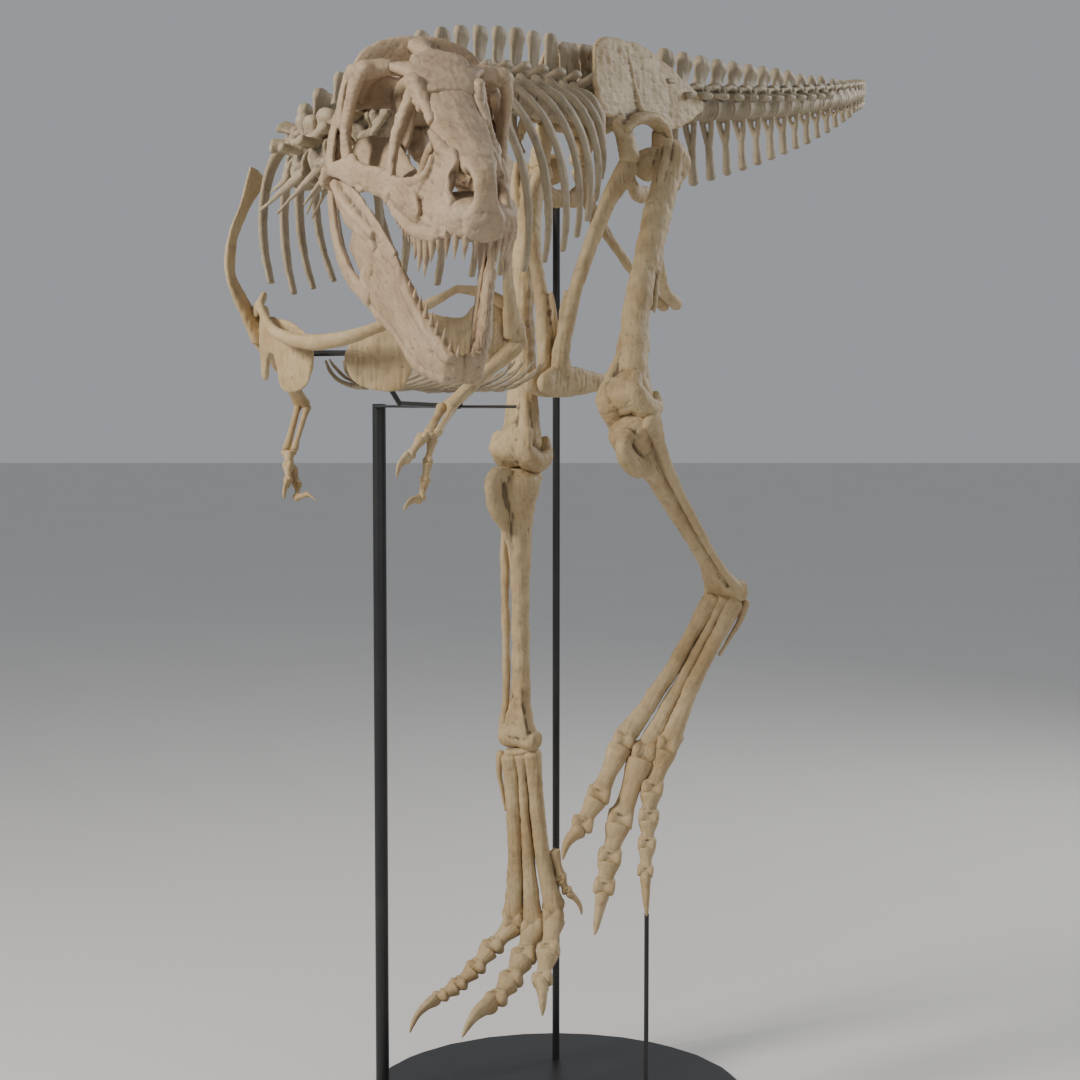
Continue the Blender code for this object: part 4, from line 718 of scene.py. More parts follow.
    bone("fibula_" + tag, parts, "limb_bone", LIMB, ("shin_" + tag,), voxel=0.0028, smooth=4, axis=down,
         seed=30 + side, rough=0.9)


TOES = {
    1: {
        "ii": [(0.214, -0.040, 0.975), (0.184, -0.118, 0.845), (0.160, -0.158, 0.775),
               (0.132, -0.199, 0.698)],
        "iii": [(0.262, -0.020, 0.945), (0.232, -0.088, 0.780), (0.225, -0.128, 0.690),
                (0.222, -0.150, 0.620),
                (0.214, -0.179, 0.512)],
        "iv": [(0.312, 0.012, 0.960), (0.296, -0.034, 0.858), (0.300, -0.054, 0.790),
               (0.305, -0.072, 0.725),
               (0.308, -0.086, 0.660), (0.322, -0.104, 0.553)],
    },
    -1: {
        "ii": [(-0.059, 0.086, 0.460), (-0.030, 0.004, 0.385), (0.000, -0.080, 0.335),
               (0.034, -0.132, 0.261)],
        "iii": [(-0.108, 0.062, 0.425), (-0.092, -0.026, 0.368), (-0.088, -0.100, 0.325),
                (-0.094, -0.165, 0.290),
                (-0.115, -0.288, 0.224)],
        "iv": [(-0.159, 0.046, 0.440), (-0.202, -0.013, 0.378), (-0.228, -0.055, 0.328),
               (-0.258, -0.094, 0.288),
               (-0.292, -0.132, 0.262), (-0.345, -0.187, 0.172)],
    },
}
# First toe, from the end of metatarsal II: up, inward, back
HALLUX = {1: [(0.187, -0.004, 0.030), (0.107, -0.004, 0.046), (0.077, -0.002, 0.054),
              (0.026, 0.004, 0.084)],
          -1: [(0.187, 0.012, 0.010), (0.100, 0.026, 0.012), (0.062, 0.042, 0.016), (-0.008, 0.074, 0.024)]}
TOE_RADIUS = {"ii": 0.031, "iii": 0.035, "iv": 0.030}


def claw(a, b, r, out, bend):
    """Curved claw: its arc is a half sine of height bend over the chord, its radius falls as
    (1 - t) to the power 0.62, with a groove along each flank."""
    a, b = np.asarray(a, float), np.asarray(b, float)
    t = np.linspace(0, 1, 24)
    path = a + (b - a) * t[:, None] + np.asarray(bend) * np.sin(t * math.pi)[:, None]
    half = r * (1 - t) ** 0.62 * np.interp(t, (0, 0.1, 0.25, 1), (0.86, 1.0, 0.86, 0.95)) + 0.0008
    rows = np.stack([path[:, 0], path[:, 1], path[:, 2], half * 0.72, half * 1.15], 1)
    return sweep(rows, out, 40, 22, 2.1, dome=0.5)


def digit(points, r0, out, name, replaces, seed, droop=1.0):
    """Phalanges with a pulley at the far end and a cupped near end, then the claw; each a bone."""
    out = unit(out)
    count = len(points) - 1
    for k in range(count):
        a, b = np.array(points[k], float), np.array(points[k + 1], float)
        r = r0 * (1 - 0.09 * k)
        d = b - a
        size = float(np.linalg.norm(d))
        along = d / size
        top = unit(np.cross(out, along))
        top = top if top[2] > 0 or abs(top[2]) < 0.2 else -top
        if k < count - 1:
            parts = [sweep([(*(a + d * 0.06), r * 1.02, r * 0.98), (*(a + d * 0.18), r * 0.94, r * 0.90),
                            (*(a + d * 0.45), r * 0.71, r * 0.66),
                            (*(a + d * 0.70), r * 0.73, r * 0.66),
                            (*(b - along * r * 0.85), r * 0.90, r * 0.82)], out, 40, 26, 2.2, dome=0.3),
                     pulley(b - along * r * 0.42, out, r * 0.82, r * 1.84, 0.22, 24),
                     knob(a + d * 0.08 - top * r * 0.45, (r * 0.5, r * 0.45, r * 0.6), (out, top, along),
                          14),
                     knob(a + d * 0.08 + top * r * 0.42, (r * 0.42, r * 0.36, r * 0.5), (out, top, along),
                          14)]
        else:
            lift = unit(np.cross(np.cross(d, UP), d)) if abs(along[2]) < 0.95 else top
            parts = [claw(a + along * r * 0.15, b, r * 1.02, out, lift * size * 0.13 * droop),
                     knob(a + along * r * 0.5 - lift * r * 0.42, (r * 0.36, r * 0.32, r * 0.48),
                          (out, lift, along), 14)]
        bone("%s_%d" % (name, k + 1), parts, "limb_bone", LIMB, replaces, voxel=max(0.0014, r * 0.085),
             smooth=3, axis=along,
             seed=seed + k, rough=0.6)


def build_foot(side):
    """Three long metatarsals, the splint of the fifth, and four toes."""
    tag = TAG[side]
    ankle = np.array(ANKLE[side], float)
    tips = TOES[side]
    down = unit(np.array(tips["iii"][0]) - ankle)
    out = unit(np.array(tips["iv"][0]) - np.array(tips["ii"][0]))
    top = ankle + down * 0.022
    fwd = np.cross(out, down)
    fwd = fwd if fwd[1] < 0 else -fwd
    node = ("metatarsus_" + tag,)
    cap = [sweep([(*(top - out * 0.036), 0.024, 0.012), (*(top + down * 0.001), 0.029, 0.012),
                  (*(top + out * 0.036), 0.024, 0.012)],
                 fwd, 24, 24, 2.6)]
    bone("tarsals_" + tag, cap, "limb_bone", LIMB, node, voxel=0.0025, seed=60 + side, rough=0.7)
    for n, (key, shift, r, pinch) in enumerate((("ii", -0.030, 0.0255, 1.0), ("iii", 0.0, 0.0240, 0.66),
                                                ("iv", 0.030, 0.0255, 1.0))):
        end = np.array(tips[key][0])
        start = top + out * shift + down * 0.016
        mid = start * 0.5 + end * 0.5 - out * shift * 0.25
        parts = [sweep([(*start, r * 0.98, r * 1.25), (*(start * 0.88 + mid * 0.12), r * 0.92 * pinch,
                                                       r * 1.1),
                        (*(start * 0.6 + mid * 0.4), r * 0.80 * pinch, r * 0.95),
                        (*mid, r * 0.80 * (pinch * 0.5 + 0.5), r * 0.92),
                        (*(mid * 0.5 + end * 0.5), r * 0.86, r * 0.90),
                        (*(end - down * 0.040), r * 1.08, r * 1.0),
                        (*(end - down * 0.022), r * 1.0, r * 0.95)], out, 70, 28, 2.4),
                 pulley(end - down * 0.012 + fwd * 0.004, out, 0.031 if key == "iii" else 0.028, 0.060
                        if key == "iii" else 0.052, 0.22, 28),
                 knob(end - down * 0.036 + out * 0.021, (0.011, 0.016, 0.017), (out, fwd, down), 14),
                 knob(end - down * 0.036 - out * 0.021, (0.011, 0.016, 0.017), (out, fwd, down), 14)]
        bone("metatarsal_%s_%s" % (key, tag), parts, "limb_bone", LIMB, node, voxel=0.0025, smooth=4,
             axis=down,
             seed=64 + 3 * side + n, rough=0.9)
    s = top + out * 0.058 - fwd * 0.006
    parts = [sweep([(*s, 0.012, 0.014), (*(s + down * 0.05 + out * 0.008 - fwd * 0.010), 0.008, 0.010),
                    (*(s + down * 0.10 + out * 0.005 - fwd * 0.018), 0.006, 0.008),
                    (*(s + down * 0.16 - fwd * 0.022), 0.003, 0.004)],
                   out, 30, 18)]
    bone("metatarsal_v_" + tag, parts, "limb_bone", LIMB, node, voxel=0.002, seed=74 + side, rough=0.6,
         axis=down)
    for n, (key, points) in enumerate(tips.items()):
        digit(points, TOE_RADIUS[key], out, "toe_bone_%s_%s" % (key, tag), ("toe_%s_%s" % (key, tag),),
              80 + 10 * n + 40 * (side > 0))
    first = [tuple(np.array(tips["ii"][0]) - down * up - out * inward - fwd * back) for up, inward,
             back in HALLUX[side]]
    digit(first, 0.016, out, "toe_bone_i_" + tag, ("toe_i_" + tag,), 110 + 40 * (side > 0))


HANDS = {
    1: [[(0.318, -1.076, 1.790), (0.312, -1.100, 1.778), (0.305, -1.135, 1.742), (0.299, -1.171, 1.699)],
        [(0.324, -1.076, 1.780), (0.330, -1.104, 1.728), (0.333, -1.120, 1.690), (0.333, -1.134, 1.655),
         (0.319, -1.178, 1.632)]],
    -1: [[(-0.318, -0.726, 1.732), (-0.300, -0.752, 1.700), (-0.286, -0.772, 1.665),
          (-0.276, -0.800, 1.628)],
         [(-0.322, -0.724, 1.730), (-0.296, -0.738, 1.690), (-0.276, -0.748, 1.655),
          (-0.260, -0.773, 1.628),
          (-0.185, -0.788, 1.618)]],
}


def build_arm(side):
    """Shoulder blade with its coracoid, upper arm, two forearm bones and the two-fingered hand."""
    tag = TAG[side]
    s = side
    shoulder, elbow, wrist = (np.array(j[side], float) for j in (SHOULDER, ELBOW, WRIST))
    inward = unit(np.array((-s * 0.320, -0.235, 0.0)))
    face = np.cross(inward, UP)
    origin = np.array((s * 0.345, -0.775, 1.990))

    def place(u, v, w=0.0):
        bulge = -0.04 * math.sin(max(0.0, min(1.0, u / 0.36)) * math.pi) * s
        return origin + inward * u + UP * v + face * (w + bulge)

    upper = [place(-0.020, 0.030), place(0.030, 0.085), place(0.090, 0.077), place(0.120, 0.047),
             place(0.160, 0.048), place(0.200, 0.055),
             place(0.290, 0.040), place(0.345, 0.015), place(0.374, -0.030)]
    lower = [place(-0.018, -0.020), place(0.020, -0.042), place(0.060, -0.060), place(0.100, -0.085),
             place(0.130, -0.080),
             place(0.165, -0.034), place(0.205, -0.030), place(0.232, -0.072), place(0.250, -0.108),
             place(0.300, -0.116),
             place(0.350, -0.096), place(0.373, -0.052)]
    parts = [
        sweep([(s * 0.338, -0.806, 2.385, 0.0055, 0.035), (s * 0.345, -0.820, 2.352, 0.005, 0.027),
               (s * 0.355, -0.838, 2.305, 0.005, 0.018),
               (s * 0.372, -0.862, 2.230, 0.006, 0.016), (s * 0.376, -0.864, 2.150, 0.0075, 0.017),
               (s * 0.362, -0.830, 2.070, 0.010, 0.022),
               (s * 0.345, -0.790, 2.010, 0.015, 0.034)], (1, 0, 0), 60, 26, 2.6),
        blade(upper, lower, (0.020, 0.024, 0.020, 0.016, 0.014, 0.013, 0.012, 0.010), 60, 44, 3.2),
        knob((s * 0.345, -0.780, 1.998), (0.022, 0.028, 0.030), None, 24),
        sweep([(*place(-0.006, 0.022), 0.020, 0.014), (*place(-0.012, -0.012), 0.020, 0.012)], face, 10,
              18),
    ]
    bone("shoulder_" + tag, parts, "limb_bone", LIMB, ("scapula_" + tag,), voxel=0.0028, smooth=4, axis=UP,
         seed=160 + s, rough=0.9)

    d = unit(elbow - shoulder)
    across = unit(np.cross(d, UP))
    start = shoulder + d * 0.012
    front = np.cross(across, d)
    parts = [sweep([(*start, 0.032, 0.019), (*(start + d * 0.03), 0.027, 0.017),
                    (*(start + d * 0.07), 0.018, 0.015),
                    (*(start + d * 0.12), 0.0145, 0.0135), (*(elbow - d * 0.035), 0.019, 0.0135),
                    (*(elbow - d * 0.010), 0.023, 0.0135)],
                   across, 50, 26, 2.2),
             sweep([(*(start + d * 0.02 + front * 0.012 + across * 0.012), 0.007, 0.009),
                    (*(start + d * 0.06 + front * 0.017 + across * 0.008), 0.007, 0.009),
                    (*(start + d * 0.09 + front * 0.008), 0.006, 0.006)], across, 16, 14),
             knob(elbow - d * 0.006 + across * 0.012, (0.011, 0.013, 0.013), (across, front, d), 18),
             knob(elbow - d * 0.006 - across * 0.012, (0.011, 0.013, 0.013), (across, front, d), 18)]
    bone("upper_arm_" + tag, parts, "limb_bone", LIMB, ("humerus_" + tag,), voxel=0.0018, axis=d,
         seed=164 + s, rough=0.6)
    d = unit(wrist - elbow)
    across = unit(np.cross(d, UP))
    a, b = elbow + d * 0.006, wrist - d * 0.004
    for n, (shift, r, back) in enumerate(((0.011, 0.0125, 0.012), (-0.013, 0.0105, 0.0))):
        q, e = a + across * shift - d * back, b + across * shift * 0.8
        parts = [sweep([(*q, r, r * 0.9), (*(q * 0.8 + e * 0.2), r * 0.72, r * 0.72),
                        (*(q * 0.4 + e * 0.6), r * 0.62, r * 0.62),
                        (*(q * 0.12 + e * 0.88), r * 0.82, r * 0.74), (*e, r * 0.92, r * 0.82)], across, 40,
                        22)]
        bone(("ulna_", "radius_")[n] + tag, parts, "limb_bone", LIMB, ("forearm_" + tag,), voxel=0.0016,
             axis=d, seed=168 + n + s, rough=0.5)
    parts = [knob(wrist + d * 0.010 + across * 0.008, (0.011, 0.011, 0.008), None, 16),
             knob(wrist + d * 0.008 - across * 0.009, (0.010, 0.010, 0.008), None, 16),
             knob(wrist + d * 0.016, (0.010, 0.009, 0.007), None, 16)]
    bone("wrist_" + tag, parts, "limb_bone", LIMB, ("hand_" + tag,), voxel=0.0014, seed=174 + s, rough=0.4)
    for n, finger in enumerate(HANDS[side]):
        digit(finger, 0.0125 - 0.001 * n, (1, 0, 0), "finger_%s_%s" % (("i", "ii")[n], tag),
              ("hand_" + tag,), 180 + 5 * n + 10 * (s > 0), 1.4)


# Hips, shoulder bar, belly ribs
def build_hips(side):
    """Ilium, pubis and ischium of one side."""
    tag, s = TAG[side], side

    def wall(u, v, w=0.0):
        low = max(0.0, min(1.0, (2.815 - v) / 0.33))
        return (s * (0.062 + 0.075 * low + w), u, v)

    top = [(0.030, 2.690), (0.060, 2.765), (0.120, 2.802), (0.220, 2.812), (0.330, 2.815), (0.450, 2.792),
           (0.560, 2.755),
           (0.640, 2.722), (0.664, 2.702)]
    low = [(0.012, 2.600), (0.055, 2.585), (0.120, 2.590), (0.200, 2.590), (0.280, 2.590), (0.360, 2.588),
           (0.460, 2.600),
           (0.580, 2.640), (0.650, 2.668)]
    parts = [
        blade([wall(*p) for p in top], [wall(*p) for p in low], (0.016, 0.018, 0.015, 0.013, 0.016), 60, 60,
              3.4),
        blade([wall(0.030, 2.700), wall(0.016, 2.640), wall(0.004, 2.590), wall(0.000, 2.520)],
              [wall(0.070, 2.690), wall(0.064, 2.640), wall(0.050, 2.600), wall(0.022, 2.505)],
              (0.014, 0.013, 0.012, 0.011), 30, 30, 3.2),
        sweep([(*wall(0.395, 2.600), 0.012, 0.034), (*wall(0.352, 2.560), 0.022, 0.036),
               (*wall(0.345, 2.515), 0.026, 0.033)], (1, 0, 0), 20, 28, 2.4),
        sweep([(*wall(0.120, 2.590), 0.012, 0.034), (*wall(0.135, 2.550), 0.020, 0.034),
               (*wall(0.142, 2.485), 0.024, 0.034)], (1, 0, 0), 20, 28, 2.4),
        sweep([(*wall(0.120, 2.560, 0.010), 0.020, 0.014), (*wall(0.180, 2.592, 0.020), 0.026, 0.015),
               (*wall(0.250, 2.604, 0.026), 0.030, 0.015),
               (*wall(0.320, 2.592, 0.020), 0.026, 0.015), (*wall(0.372, 2.560, 0.010), 0.018, 0.014)],
               (1, 0, 0), 40, 24, 2.3),
        sweep([(*wall(0.245, 2.790, 0.004), 0.006, 0.012), (*wall(0.240, 2.700, 0.006), 0.008, 0.013),
               (*wall(0.245, 2.620, 0.010), 0.010, 0.016)],
              (1, 0, 0), 24, 16),
    ]
    bone("hip_blade_" + tag, parts, "limb_bone", LIMB, ("ilium_" + tag,), voxel=0.0035, smooth=4,
         axis=(0, 1, 0), seed=400 + s, rough=1.1)

    parts = [
        sweep([(s * 0.130, 0.150, 2.470, 0.022, 0.034), (s * 0.122, 0.105, 2.420, 0.019, 0.031),
               (s * 0.110, 0.070, 2.370, 0.017, 0.027),
               (s * 0.080, 0.022, 2.240, 0.015, 0.021), (s * 0.045, 0.000, 2.110, 0.018, 0.019),
               (s * 0.026, -0.020, 1.990, 0.020, 0.024),
               (s * 0.022, -0.012, 1.925, 0.019, 0.036)], (1, 0, 0), 70, 30, 2.3),
        blade([(s * 0.019, -0.105, 1.925), (s * 0.019, -0.050, 1.944), (s * 0.019, 0.020, 1.948),
               (s * 0.019, 0.120, 1.937), (s * 0.019, 0.220, 1.928), (s * 0.019, 0.280, 1.914)],
              [(s * 0.019, -0.108, 1.878), (s * 0.019, -0.050, 1.866), (s * 0.019, 0.030, 1.866),
               (s * 0.019, 0.130, 1.874), (s * 0.019, 0.220, 1.886), (s * 0.019, 0.278, 1.902)],
              (0.030, 0.036, 0.036, 0.034, 0.030, 0.020), 50, 30, 2.6),
        knob((s * 0.021, -0.092, 1.902), (0.020, 0.032, 0.028), None, 24),
        blade([(s * 0.014, -0.012, 1.960), (s * 0.014, -0.006, 2.060), (s * 0.022, 0.004, 2.140)],
              [(s * 0.014, 0.030, 1.960), (s * 0.014, 0.022, 2.060), (s * 0.022, 0.010, 2.140)],
              (0.026, 0.022, 0.014), 24, 18),
        sweep([(s * 0.130, 0.150, 2.440, 0.014, 0.022), (s * 0.126, 0.200, 2.404, 0.011, 0.025),
               (s * 0.125, 0.262, 2.404, 0.011, 0.023)],
              (1, 0, 0), 24, 22),
    ]
    bone("pubic_bone_" + tag, parts, "limb_bone", LIMB, ("pubis_" + tag,), voxel=0.0032, smooth=4, axis=UP,
         seed=410 + s, rough=1.1)
    parts = [
        sweep([(s * 0.130, 0.350, 2.490, 0.020, 0.030), (s * 0.124, 0.360, 2.450, 0.015, 0.030),
               (s * 0.115, 0.372, 2.405, 0.012, 0.028),
               (s * 0.082, 0.420, 2.320, 0.011, 0.019), (s * 0.048, 0.490, 2.230, 0.012, 0.014),
               (s * 0.024, 0.570, 2.165, 0.015, 0.014),
               (s * 0.020, 0.650, 2.130, 0.017, 0.018)], (1, 0, 0), 60, 26, 2.3),
        sweep([(s * 0.126, 0.352, 2.435, 0.011, 0.025), (s * 0.125, 0.310, 2.412, 0.009, 0.026),
               (s * 0.125, 0.276, 2.402, 0.010, 0.022)],
              (1, 0, 0), 20, 20),
        sweep([(s * 0.108, 0.380, 2.372, 0.006, 0.012), (s * 0.100, 0.372, 2.340, 0.006, 0.016),
               (s * 0.088, 0.390, 2.310, 0.006, 0.010)],
              (1, 0, 0), 16, 16),
    ]
    bone("ischial_bone_" + tag, parts, "limb_bone", LIMB, ("ischium_" + tag,), voxel=0.003, smooth=4,
         axis=(0, 0.5, -1), seed=420 + s)


def build_furcula():
    """The wishbone: a wide V whose arms flatten where they reach the shoulder blades."""
    rows = [(-0.262, -0.888, 2.096, 0.009, 0.0075), (-0.225, -0.945, 2.062, 0.011, 0.009),
            (-0.120, -1.022, 2.004, 0.014, 0.011),
            (0.0, -1.046, 1.982, 0.017, 0.0135), (0.120, -1.022, 2.004, 0.014, 0.011),
            (0.225, -0.945, 2.062, 0.011, 0.009),
            (0.262, -0.888, 2.096, 0.009, 0.0075)]
    parts = [sweep(rows, (0, 0, 1), 110, 26)]
    for s in (1, -1):
        parts.append(sweep([(s * 0.260, -0.889, 2.097, 0.009, 0.0075),
                            (s * 0.300, -0.845, 2.090, 0.012, 0.008),
                            (s * 0.345, -0.814, 2.064, 0.016, 0.008)], (0, 0, 1), 26, 22))
    bone("wishbone", parts, "limb_bone", LIMB, ("furcula",), voxel=0.0022, axis=(1, 0, 0), seed=430,
         rough=0.6)


def build_gastralia():
    """Belly ribs: thin tapering rods in pairs that cross on the middle line."""
    for k in range(GASTRALIA):
        y = -0.865 + 0.057 * k
        reach = 0.148 - 0.006 * k
        for s in (1, -1):
            wave = 0.003 * math.sin(2.3 * k + s)
            rows = [(-s * 0.016, y - 0.012, 1.888 + 0.002 * s, 0.0050, 0.0042),
                    (s * 0.030, y + 0.010, 1.889, 0.0070, 0.0054),
                    (s * reach * 0.55, y + 0.030 + wave, 1.899, 0.0060, 0.0050),
                    (s * reach * 0.85, y + 0.050, 1.920, 0.0050, 0.0044),
                    (s * reach, y + 0.062 + wave, 1.947, 0.0034, 0.0030)]
            obj = mesh_of("belly_rib_%02d_%s" % (k + 1, TAG[s]), [sweep(rows, (0, 1, 0), 110, 20, 2.2)])
            finish(obj, "trunk_bone", TRUNK, ("gastralia",), axis=(s, 0.3, 0.3), rough=0.5,
                   seed=440 + 2 * k + s)
            rows = [(s * 0.040, y + 0.030, 1.896, 0.0032, 0.0030),
                    (s * reach * 0.6, y + 0.050, 1.911, 0.0046, 0.0040),
                    (s * reach * 0.9, y + 0.068 - wave, 1.936, 0.0040, 0.0036),
                    (s * reach * 1.01, y + 0.076, 1.951, 0.0026, 0.0024)]
            obj = mesh_of("belly_rib_side_%02d_%s" % (k + 1, TAG[s]), [sweep(rows, (0, 1, 0), 90, 16, 2.2)])
            finish(obj, "trunk_bone", TRUNK, ("gastralia",), axis=(s, 0.3, 0.3), rough=0.4,
                   seed=470 + 2 * k + s)
    rows = [(0, -0.885, 1.892, 0.010, 0.006), (0, -0.60, 1.882, 0.009, 0.0055),
            (0, -0.27, 1.884, 0.009, 0.0055)]
    obj = mesh_of("belly_seam", [sweep(rows, (1, 0, 0), 200, 20)])
    finish(obj, "trunk_bone", TRUNK, ("gastralia",), axis=(0, 1, 0), rough=1.2, seed=499)


# Head
def turn(axis, angle):
    """Matrix of a turn by angle about one axis, right-handed."""
    c, s = math.cos(angle), math.sin(angle)
    return np.array({"x": ((1, 0, 0), (0, c, -s), (0, s, c)), "y": ((c, 0, s), (0, 1, 0), (-s, 0, c)),
                     "z": ((c, -s, 0), (s, c, 0), (0, 0, 1))}[axis], float)


HEAD = turn("z", HEAD_YAW) @ turn("y", HEAD_PITCH) @ turn("x", HEAD_ROLL)
JAW = HEAD @ turn("y", JAW_OPEN) @ turn("z", JAW_SWING)


def head_bone(name, surfaces, frame=HEAD, node="skull", voxel=0.0024, **more):
    """A bone given in the head's own frame: forward, left, up from the jaw joint."""
    placed = [moved(s, frame, JAW_JOINT) for s in surfaces]
    return bone(name, placed, "skull_bone", SKULL, (node,), voxel=voxel, axis=frame @ np.array((1.0, 0, 0)),
                **more)


def tooth(name, root, size, radius, frame, up, seed, node):
    """Curved blade-like cone: its middle bows forward, and it leans back by a fifth of its size."""
    f, l, u = root
    t = np.linspace(0, 1, 20)
    path = np.stack([f - 0.20 * size * t**1.8 + 0.03 * size * np.sin(t * math.pi),
                     np.full(20, l) - math.copysign(0.02, l) * size * t,
                     u - up * 0.010 + up * (size + 0.010) * t], 1)
    half = radius * (1 - 0.94 * t**1.5) * (1 - 0.12 * np.exp(-(t / 0.06) ** 2))
    rows = np.column_stack([path, half, half * 0.62])
    obj = mesh_of(name, [moved(sweep(rows, (1, 0, 0), 36, 22, 2.1, dome=0.8), frame, JAW_JOINT)])
    return finish(obj, "skull_bone", TOOTH, (node,), axis=frame @ np.array((0, 0, 1.0)), rough=0.12,
                  seed=seed)


def snout_half(f):
    """Half width of the snout's side wall at f metres forward of the jaw joint."""
    return float(np.interp(f, (0.30, 0.36, 0.48, 0.52, 0.58, 0.64, 0.66),
                           (0.100, 0.094, 0.090, 0.086, 0.074, 0.058, 0.050)))


def jaw_half(f):
    """Half width between the two sides of the jaw at f metres forward of its joint."""
    return float(np.interp(f, (0.0, 0.1, 0.2, 0.3, 0.4, 0.5, 0.56, 0.60),
                           (0.147, 0.145, 0.130, 0.104, 0.076, 0.052, 0.034, 0.018)))


def mirrored(rows, s):
    """Rows of the left side, or the same rows on the other side."""
    return [(r[0], s * r[1], *r[2:]) for r in rows]


